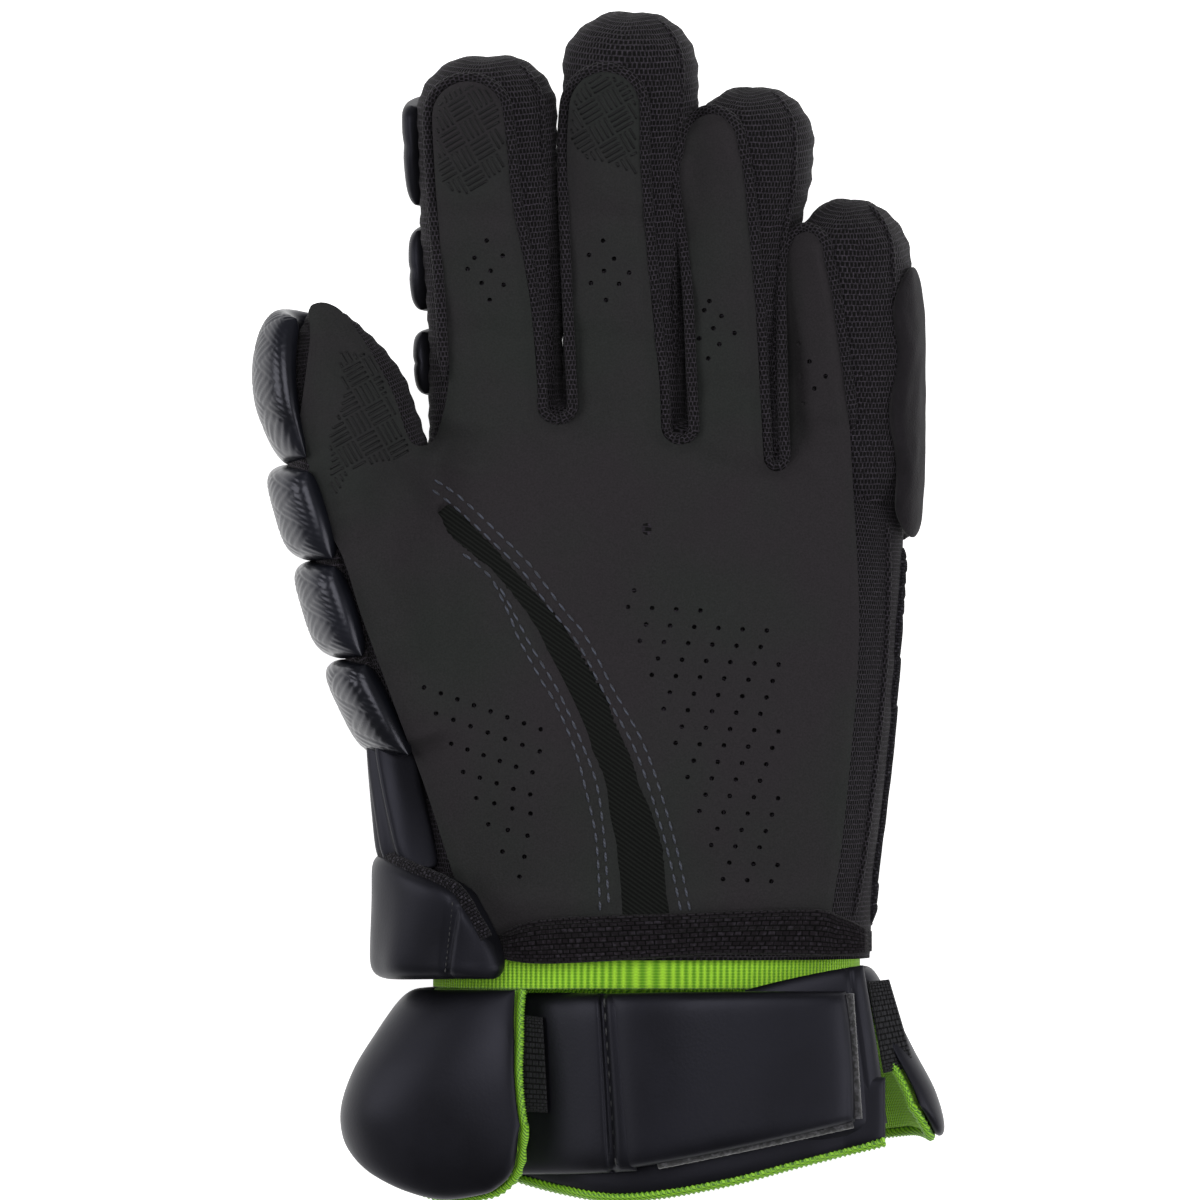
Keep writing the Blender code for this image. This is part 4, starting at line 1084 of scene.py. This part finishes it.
def sweep(bm, spots, width, height, sides=8, size_at=None):
    """Runs a rounded section along spots, each a point with the normal there. size_at(i) scales a ring."""
    uv = bm.loops.layers.uv.verify()
    count = len(spots)
    rings, marks = [], []
    run = 0.0
    for i, (point, normal) in enumerate(spots):
        way = (spots[min(count - 1, i + 1)][0] - spots[max(0, i - 1)][0]).normalized()
        side = normal.cross(way).normalized()
        up = way.cross(side)
        size = size_at(i) if size_at else 1.0
        wide, high = width / 2 * size, height / 2 * size
        turns = [2 * pi * k / sides for k in range(sides)]
        rings.append([bm.verts.new(point + side * (cos(a) * wide) + up * (sin(a) * high)) for a in turns])
        run += (point - spots[max(0, i - 1)][0]).length
        marks.append(run)
    for i in range(count - 1):
        for k in range(sides):
            beside = (k + 1) % sides
            face = bm.faces.new((rings[i][k], rings[i][beside], rings[i + 1][beside], rings[i + 1][k]))
            for loop, (across, along) in zip(face.loops, ((k, i), (k + 1, i), (k + 1, i + 1), (k, i + 1))):
                loop[uv].uv = (across * pi * width / sides, marks[along])
    bm.faces.new(rings[0][::-1])
    bm.faces.new(rings[-1])


def cords(name, lines, width, height, material, sides=8, size_at=None):
    """Cords or ribs, one along each line of spots."""
    bm = bmesh.new()
    for spots in lines:
        if len(spots) > 1:
            sweep(bm, spots, width, height, sides, size_at)
    bmesh.ops.recalc_face_normals(bm, faces=bm.faces)
    return piece(name, bm, material)


def tapered(i, count, least, step):
    """The size of a cord's ring, from least at either end up to 1."""
    return min(1.0, least + step * min(i, count - 1 - i))


def ease(spots, rounds):
    """Evens out the heights along a line of spots."""
    for _ in range(rounds):
        heights = [point.z for point, _ in spots]
        for i in range(1, len(spots) - 1):
            spots[i][0].z = (heights[i - 1] + 2 * heights[i] + heights[i + 1]) / 4


def parquet_ribs(outline, block, ribs, turn):
    """Lines that fill an outline with blocks of parallel ribs, each block turned across its neighbours."""
    reach = max(hypot(*p[:2]) for p in outline) + block
    count = int(reach / block) + 1
    steps = 8
    lines = []
    for i in range(-count, count):
        for j in range(-count, count):
            for k in range(ribs):
                line = []
                for m in range(steps + 1):
                    a = block * (0.06 + 0.88 * m / steps)
                    b = block * (k + 0.5) / ribs
                    u, v = (a, b) if (i + j) % 2 else (b, a)
                    u, v = u + i * block, v + j * block
                    spot = Vector((u * cos(turn) - v * sin(turn), u * sin(turn) + v * cos(turn), 0))
                    if inside(spot.x, spot.y, outline):
                        line.append(spot)
                    elif line:
                        lines.append(line)
                        line = []
                if line:
                    lines.append(line)
    return [line for line in lines if len(line) > 2]


def parquet(u, v, block, ribs):
    """The height, 0 to 1, of the same pattern pressed into a cover."""
    i, j = floor(u / block), floor(v / block)
    across = (v - j * block if (i + j) % 2 else u - i * block) / block
    along = (u - i * block if (i + j) % 2 else v - j * block) / block
    end = min(1.0, 12 * along, 12 * (1 - along))
    return end * (0.5 - 0.5 * cos(2 * pi * across * ribs)) ** 0.7


def make_grip_prints(ground):
    """The printed ribs on two fingertips and the thumb, kept off the leather's edge."""
    leather_edge = palm_outline()
    for name, outline in GRIP_PRINTS.items():
        edge = [place(*p) for p in outline]
        lines = []
        for line in parquet_ribs(edge, 0.0062, 4, 0.52):
            kept = [p for p in line
                    if all(inside(p.x + dx, p.y + dy, leather_edge) for dx, dy in
                           ((-PRINT_MARGIN, 0), (PRINT_MARGIN, 0), (0, PRINT_MARGIN)))]
            if len(kept) > 2:
                lines.append([ground.frame_at(p.x, p.y) for p in kept])
        made = cords(name + "_grip_print", lines, 0.00075, 0.00042, "print", sides=6)
        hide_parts("palm_leather")


def make_edge_roll(ground):
    """The mesh rolled over beside the leather's edge, all along the fingers, gathered where they meet."""
    line = curve_through([place(*p) for p in finger_edge()], 0.0005)
    feet = [place((left + right) / 2, low) for left, right, _, low in CROTCHES]
    spots, sizes = [], []
    for i, edge in enumerate(line):
        way = line[min(len(line) - 1, i + 2)] - line[max(0, i - 2)]
        out = Vector((-way.y, way.x, 0)).normalized()
        spot = edge + out * 0.00125
        under = ground.height(edge.x, edge.y, 0.05) + ground.height(spot.x, spot.y, 0.05)
        spot.z = 0.5 * under + 0.0004
        near = min((edge - foot).xy.length for foot in feet)
        spots.append((spot, Vector((0, 0, 1))))
        sizes.append(1 + 0.05 * noise.noise(edge * 160) + 0.16 * sin(i * 1.9) * bell(near, 0.007))
    ease(spots, 14)
    made = cords("gusset_edge_roll", [spots], 0.0031, 0.0026, "mesh", 12,
                 lambda i: sizes[i] * tapered(i, len(spots), 0.2, 0.05))
    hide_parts("index_gusset", "middle_gusset", "ring_gusset", "pinky_gusset")


# Pads

def over(surface, us, vs, gap, depth, edge=0.28, lowest=None):
    """Places a pad's skins over part of a surface: its seam stands at a share of its depth."""

    def point(s, t, side, swell):
        grow = gap + depth * skin_share(edge, side, swell)
        spot = surface(us[0] + (us[1] - us[0]) * s, vs[0] + (vs[1] - vs[0]) * t, grow)
        if lowest is not None:
            spot.z = max(spot.z, lowest if side else lowest + 0.0008)
        return spot

    return point


def make_finger_pads():
    """Three pads down the back of each finger."""
    for name, (first, last, spread) in FINGER_PAD_REACH.items():
        form = FORMS[name]
        for i, (start, end) in enumerate(FINGER_PADS):
            made = pad(f"{name}_back_pad_{i + 1}",
                       over(lambda u, v, grow, form=form, spread=spread: form.point(v, u, grow, spread),
                            (first, last), (start, end), PAD_GAP, FINGER_PAD, 0.34),
                       44, 30, "pad",
                       relief=lambda s, t: -0.10 * bell(abs(t), 0.10))
            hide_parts(f"{name}_pad_{('base', 'mid', 'tip')[i]}")


def make_side_panel():
    """The brushed panel down the little finger's outer side, its palm edge cut in waves."""

    def point(s, t, side, swell):
        edge = 36 + 5 * sin(t * 15.5 + 0.6)
        grow = PAD_GAP + 0.0042 * skin_share(0.34, side, swell)
        return FORMS["pinky"].point(-0.26 + 1.22 * t, -30 + (edge + 30) * s, grow)

    made = pad("pinky_suede_panel", point, 40, 90, "suede", rounding=0.34, power=4.0,
               relief=lambda s, t: 0.10 * noise.noise(Vector((s * 3, t * 5, 0))))
    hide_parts("pinky_side_panel")


def back_angle(share):
    """The angle round the hand's underside at a share of its half width."""
    return degrees(2 * pi - acos((1 if share >= 0 else -1) * abs(share) ** (HAND_SQUARENESS / 2)))


def make_back_pads():
    """The rows of pads on the back of the hand, with a groove between neighbours."""
    space, half_space = PAD_SPACE / PALM_LENGTH, PAD_SPACE / PALM_WIDTH
    for row, start, end, edges in BACK_ROWS:
        for i, (left, right) in enumerate(zip(edges, edges[1:])):
            made = pad(f"hand_back_pad_{row}_{i + 1}",
                       over(lambda u, v, grow: hand_point(v, back_angle(u), grow),
                            (left + half_space, right - half_space), (start + space / 2, end - space / 2),
                            PAD_GAP, BACK_PAD, 0.42, lowest=0.0),
                       40, 30, "pad", rounding=0.14)
            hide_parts(f"back_pad_{row}_{i + 1}")


def make_thumb_pads():
    """The thumb's glossy segments, pressed with a parquet of ribs."""
    form = FORMS["thumb"]

    def outside(angle, station, grow):
        point = form.point(station, angle, grow)
        return point - form.way * (THUMB_PAD_SKEW * (point - form.base).dot(form.side))

    for part, start, end, first, last, thickness in THUMB_PADS:
        length = (end - start) * (form.length - form.cap) if end < 1 else THUMB_TIP_LENGTH
        breadth = (last - first) / 360 * THUMB_GIRTH

        def relief(s, t, length=length, breadth=breadth, thickness=thickness):
            u, v = s * breadth / 2, t * length / 2
            ribs = parquet(u * 0.8 + v * 0.6 + 0.5, v * 0.8 - u * 0.6 + 0.5, 0.0078, 5)
            return 0.00034 / thickness * (ribs - 1) * min(1.0, 4 * (1 - abs(s)), 4 * (1 - abs(t)))

        made = pad(f"thumb_{part}_segment",
                   over(outside, (first, last), (start, end), PAD_GAP + LEATHER, thickness, 0.30),
                   110, 92 if part != "tip" else 120, "gloss", rounding=0.16,
                   relief=relief, power=4.5)
        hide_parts(f"thumb_pad_{part}")
    backing = pad("thumb_side_backing", over(outside, (168, 258), (0.02, 1.30), 0.0003, 0.0042, 0.4),
                  40, 120, "mesh", size=(0.035, 0.120))
    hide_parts("thumb_shell")


def make_tube_seams():
    """The seam that runs up each finger's outer side and over its tip."""
    count = 120
    for name in FINGER_PAD_REACH:
        form = FORMS[name]
        spots = []
        for k in range(count):
            station = 0.12 + 1.62 * k / (count - 1)
            angle = 24 + 8 * sin(k * 0.03)
            spot = form.point(station, angle, 0.0008)
            spots.append((spot, (form.point(station, angle, 0.0030) - spot).normalized()))
        made = cords(name + "_side_seam", [spots], 0.0017, 0.0014, "mesh", 8,
                     lambda k: (1 + 0.15 * noise.noise(Vector((k * 0.2, 0, 0))))
                     * tapered(k, count, 0.2, 0.1))
        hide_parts(name + "_gusset")


def make_side_cover():
    """The fluted panel on the thumb side, below the thumb."""

    def point(s, t, side, swell):
        along = 0.165 + (0.455 - 0.165) * t
        start = 149 + 17 * t
        flutes = 0.10 * sin(s * 30)
        return hand_point(along, start + (206 - start) * s,
                          2 * PAD_GAP + 0.0110 * skin_share(0.50, side, swell, flutes))

    made = pad("thumb_side_cover", point, 90, 40, "smooth", rounding=0.08, power=8.0)
    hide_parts("thumb_side_panel")


def wrap_point(s, t, side, swell):
    """A point of the wrap's skin: s round it from the palm side, t from its foot to its top edge."""
    low = -0.034 - 0.012 * s
    along = low + (row_at(WRAP_TOP, s)[0] - low) * t
    ripple = 0.05 * sin(s * 26 + t * 3) * (1 - t)
    share = skin_share(0.42, side, swell, ripple)
    return hand_point(along, 118 + 114 * s, PAD_GAP + LEATHER + 0.0028 + 0.0100 * share)


def make_wrist_wrap():
    """The wrap round the thumb side of the wrist, its bound top edge and its row of stitches."""
    made = pad("wrist_wrap", wrap_point, 110, 56, "smooth", rounding=0.06, power=9.0,
               relief=lambda s, t: -0.22 * bell(abs(s + 0.80 + 0.03 * t), 0.018))
    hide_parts("wrist_wrap_pad")
    top = [(wrap_point(s / 80, 0.985, 1, 0.35), wrap_point(s / 80, 0.985, 1, 2.0)) for s in range(2, 79)]
    binding = cords("wrist_wrap_binding", [[(spot, out - spot) for spot, out in top]], 0.0042, 0.0034,
                    "binding", 12, size_at=lambda i: 1 + 0.05 * sin(i * 1.9))
    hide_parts("wrist_wrap_pad")
    row = [(0.108 - 0.012 * (k / 20 - 1), k / 40) for k in range(3, 38)]
    line = [wrap_point(s, t, 1, 0.80) for s, t in row]
    normals = [(wrap_point(s, t, 1, 1.80) - spot).normalized() for (s, t), spot in zip(row, line)]
    places = [(spot, way, normals[min(len(normals) - 1, int(k * len(normals) / 20))])
              for k, (spot, way) in enumerate(along_path(line, 0.0017))]
    stitches = chain("wrist_wrap_stitches", places, 0.0013, 0.0005, 0.0004, "dark_thread")
    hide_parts("wrist_wrap_pad")


def make_wrist_back():
    """The pad across the back of the wrist."""
    made = pad("wrist_back_cover",
               over(lambda u, v, grow: hand_point(v, u, grow), (236, 322), (-0.014, 0.158), PAD_GAP,
                    0.0132, 0.5, lowest=0.0003), 70, 34, "smooth", rounding=0.10)
    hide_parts("wrist_back_pad")


def make_hem(ground):
    """The rib-knit binding over the palm's wrist edge: sewn in three rows."""
    top = curve_through([place(*p) for p in HEM_TOP], 0.0005)
    foot = curve_through([place(*p) for p in HEM_FOOT], 0.0005)

    def point(s, t, side, swell):
        high, low = top[round(s * (len(top) - 1))], foot[round(s * (len(foot) - 1))]
        spot = low.lerp(high, t)
        rows = 0.22 * sin(t * 2 * pi * 3.5) * swell
        flat = min(spot.x, HEM_REACH_X)
        base = ground.height(flat, max(spot.y, WRIST_Y + 0.0006), 0.055) - HEM_FALL * (spot.x - flat)
        spot.z = base + 0.0001 + 0.0019 * skin_share(0.3, side, swell, rows)
        return spot

    made = pad("wrist_hem", point, 200, 26, "knit", rounding=0.0, size=(0.100, 0.012),
               power=16.0)
    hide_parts("palm_hem")


def make_side_seams(ground):
    """Two rolled seams down the outer side of the hand, between the palm's mesh and the back."""
    for i, row in enumerate(SIDE_SEAMS):
        spots = []
        for p in curve_through([place(*q) for q in row], 0.0008):
            height = ground.height(p.x, p.y)
            while height is None:
                p.x -= 0.0004
                height = ground.height(p.x, p.y)
            spots.append((Vector((p.x, p.y, height + 0.0002)), Vector((0.25, 0, 1)).normalized()))
        ease(spots, 10)
        made = cords(f"side_seam_{i + 1}", [spots], (0.0034, 0.0019)[i], (0.0030, 0.0013)[i],
                     ("binding", "mesh")[i], 10,
                     lambda k: (1 + 0.12 * noise.noise(Vector((k * 0.12, i, 0))))
                     * tapered(k, len(spots), 0.3, 0.1))
        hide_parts("hand_shell")


# Cuff and closure

def overlock_run(where, count, depth):
    """Spots along an edge of the lining, each with the way into the cuff. where(k) gives s and t for k from 0
    to 1."""
    spots = []
    for k in range(count + 1):
        s, t = where(k / count)
        inner = cuff_wall(s, t, CUFF_WALL + depth)
        spots.append((inner, (inner - cuff_wall(s, t, 0)).normalized()))
    return spots


def make_cuff():
    """The cuff's foam shell, and the green overlocking along its lining's edges."""
    half = CUFF_WALL / 2

    def point(s, t, side, swell):
        return cuff_wall(s, t, half - half * swell if side else half + half * swell)

    made = pad("cuff_foam", point, 240, 60, "smooth", rounding=0.0, power=12.0)
    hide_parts("cuff_shell")
    runs = [overlock_run(lambda k: (0.002, k), 100, 0.0004), overlock_run(lambda k: (k, 1.0), 300, 0.0002),
            overlock_run(lambda k: (0.998, k), 100, 0.0004)]
    made = cords("cuff_overlock", runs, 0.0021, 0.0019, "lime_thread", 8,
                 size_at=lambda i: 1.0 + 0.5 * (i % 2))
    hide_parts("cuff_lining")


def quad_point(corners, s, t):
    """A point of a four-cornered patch of the photo: s from left to right, t from its foot to its top."""
    a, b, c, d = (place(*p) for p in corners)
    return d.lerp(c, s).lerp(a.lerp(b, s), t)


def band(name, corners, depth, lift, material, columns, rows, edge=0.35, rounding=0.05, relief=None,
         power=10.0, size=(1.0, 1.0), height=strap_height):
    """A flat padded band that follows the strap's arch over the wrist, with what places its skins."""

    def point(s, t, side, swell):
        spot = quad_point(corners, s, t)
        spot.z = height(spot.x) + lift + depth * skin_share(edge, side, swell)
        return spot

    return pad(name, point, columns, rows, material, rounding, relief, size, power), point


def rim_spots(point, s_of, count, swell, out=1.6):
    """Spots along a line on a band's outer skin, each with the way out of it."""
    found = []
    for k in range(count + 1):
        s, t = s_of(k / count)
        spot = point(s, t, 1, swell)
        found.append((spot, (point(s, t, 1, out) - spot).normalized()))
    return found


def stitched(name, spots, pitch, length, width, material):
    """A row of stitches along spots, each lying on the nearest spot's normal."""
    points = [p for p, _ in spots]
    places = []
    for p, way in along_path(points, pitch):
        nearest = min(range(len(points)), key=lambda i: (points[i] - p).length)
        places.append((p, way, spots[nearest][1]))
    return chain(name, places, length, width, width * 0.8, material)


def panel_height(x):
    """The height of the landing panel's underside."""
    return row_at(PANEL_HEIGHTS, (x - place(*LOOP_PANEL[0]).x) / PANEL_LENGTH)[0] * CUFF_DEPTH


def make_closure():
    """The strap's base and tab, the panel that it closes on and the two elastics."""
    base, at_base = band("strap_base", STRAP_BASE, 0.0060, 0.0, "smooth", 70, 90,
                         rounding=0.03, relief=lambda s, t: -0.5 * bell(abs(s - 0.66), 0.05))
    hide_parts("wrist_strap")
    groove = rim_spots(at_base, lambda k: (0.858 - 0.012 * k, 0.03 + 0.94 * k), 90, 0.62)
    seam = stitched("strap_seam_stitches", groove, 0.0040, 0.0027, 0.0008, "dark_thread")
    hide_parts("wrist_strap")
    tab, at_tab = band("strap_tab", STRAP_TAB, 0.0056, 0.0006, "smooth", 130, 90,
                       rounding=0.045, edge=0.30, power=14.0)
    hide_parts("wrist_strap")
    for name, run, depth in (("end", lambda k: (0.998, 0.03 + 0.94 * k), 0.0030),
                             ("foot", lambda k: (0.16 + 0.82 * k, 0.004), 0.0028)):
        spots = rim_spots(at_tab, run, 120, 0.0)
        hook = cords("strap_hook_" + name, [spots], depth, 0.0026, "hook", 10,
                     size_at=lambda i: 1 + 0.13 * noise.noise(Vector((i * 0.7, 0, 3))))
        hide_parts("wrist_strap")
    make_under_layer()
    panel, at_panel = band("strap_landing", LOOP_PANEL, 0.0038, -0.0002, "smooth", 60, 90,
                           rounding=0.05, edge=0.45, height=panel_height,
                           relief=lambda s, t: -0.35 * bell(abs(s - 0.72 - 0.02 * t), 0.03))
    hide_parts("strap_loop_panel")
    groove = rim_spots(at_panel, lambda k: (0.86, 0.08 + 0.84 * k), 60, 0.55)
    seam = stitched("panel_seam_stitches", groove, 0.0034, 0.0024, 0.0006, "dark_thread")
    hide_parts("strap_loop_panel")
    for name, corners, node, height, lift in (
            ("left_elastic_web", LEFT_ELASTIC, "elastic_left", strap_height, 0.0062),
            ("right_elastic_web", RIGHT_ELASTIC, "elastic_right", elastic_height, 0.0)):
        web, _ = band(name, corners, 0.0018, lift, "webbing", 64, 60, edge=0.4,
                      rounding=0.0, power=16.0, height=height,
                      relief=lambda s, t: 0.28 * (abs(sin(s * pi * 4)) - 0.7), size=(0.012, 0.027))
        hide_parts(node)


def make_under_layer():
    """The layer below the strap, with the lining's lime edge."""

    def point(s, t, side, swell):
        x = 496 + 388 * s
        low = row_at(UNDER_LAYER_FOOT, x)[0]
        spot = place(x, low + (UNDER_LAYER_TOP - low) * t)
        spot.z = strap_height(spot.x) - 0.0052 + 0.0040 * (0.4 + 0.6 * swell if side else 0.4 - 0.4 * swell)
        return spot

    made = pad("strap_under_layer", point, 130, 30, "smooth", rounding=0.0, power=12.0)
    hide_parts("wrist_strap")
    spots = [(point(k / 160, -0.012, 1, 0.0), Vector((0, 0, 1))) for k in range(161)]
    edge = cords("strap_under_edge", [spots], 0.0024, 0.0030, "lime_thread", 8,
                 size_at=lambda i: 1.0 + 0.45 * (i % 2))
    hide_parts("wrist_strap")


def elastic_height(x):
    """The height of the right elastic's underside, which falls away from the panel to the cuff."""
    share = (x - place(*RIGHT_ELASTIC[0]).x) / RIGHT_ELASTIC_RUN
    return (0.800 - 0.10 * max(0.0, min(1.3, share))) * CUFF_DEPTH - 0.0022


# Everything

tubes = make_finger_meshes()
hand = make_hand_mesh()
make_linings()
body = Ground(hand, *tubes)
leather, seam_rows = make_palm(body)
make_crease_strip(body)
top_side = Ground(leather)
every_side = Ground(leather, hand, *tubes)
stitches = sewn("palm_stitches", seam_rows, top_side, 0.0038, 0.0029, 0.00075, "seam_thread")
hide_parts("palm_leather")
make_grip_prints(top_side)
make_edge_roll(body)
make_finger_pads()
make_side_panel()
make_back_pads()
make_thumb_pads()
make_tube_seams()
make_side_cover()
make_wrist_wrap()
make_wrist_back()
make_hem(every_side)
make_side_seams(every_side)
make_cuff()
make_closure()

# Stage: a white floor, soft light from all round and the photo's camera
scene = bpy.context.scene
floor_mesh = bpy.data.meshes.new("floor")
bm = bmesh.new()
bmesh.ops.create_grid(bm, x_segments=1, y_segments=1, size=3.0)
bmesh.ops.translate(bm, vec=(0, 0, -0.0002), verts=bm.verts)
bm.to_mesh(floor_mesh)
bm.free()
floor_made, _, floor_shader = blank("white_paper_floor", 0.9, Emission_Strength=0.80)
floor_shader.inputs["Base Color"].default_value = (0.9, 0.9, 0.9, 1)
floor_shader.inputs["Emission Color"].default_value = (1, 1, 1, 1)
floor_mesh.materials.append(floor_made)
ground_plane = bpy.data.objects.new("floor", floor_mesh)
scene.collection.objects.link(ground_plane)

for name, where, size, power in (
        ("overhead", (0.0, 0.35, 1.4), 0.9, 11.0),
        ("left", (-1.3, 0.2, 0.7), 0.8, 8.5),
        ("right", (1.2, -0.3, 0.8), 0.8, 8.5)):
    light = bpy.data.lights.new(name, "AREA")
    light.size = size
    light.energy = power
    lamp = bpy.data.objects.new(name, light)
    lamp.location = where
    lamp.rotation_euler = (-Vector(where)).to_track_quat("-Z", "Y").to_euler()
    scene.collection.objects.link(lamp)
world = bpy.data.worlds.new("studio")
world.use_nodes = True
world.node_tree.nodes["Background"].inputs["Color"].default_value = (1, 1, 1, 1)
world.node_tree.nodes["Background"].inputs["Strength"].default_value = 0.19
scene.world = world
scene.view_settings.view_transform = "Standard"

camera = bpy.data.objects.new("camera", bpy.data.cameras.new("camera"))
camera.data.sensor_width = SENSOR
camera.data.lens = SENSOR * (CAMERA_HEIGHT - GLOVE_MIDDLE_Z) / (PHOTO_SIZE * PIXEL)
camera.location = (*place(PHOTO_SIZE / 2, PHOTO_SIZE / 2).xy, CAMERA_HEIGHT)
scene.collection.objects.link(camera)
scene.camera = camera
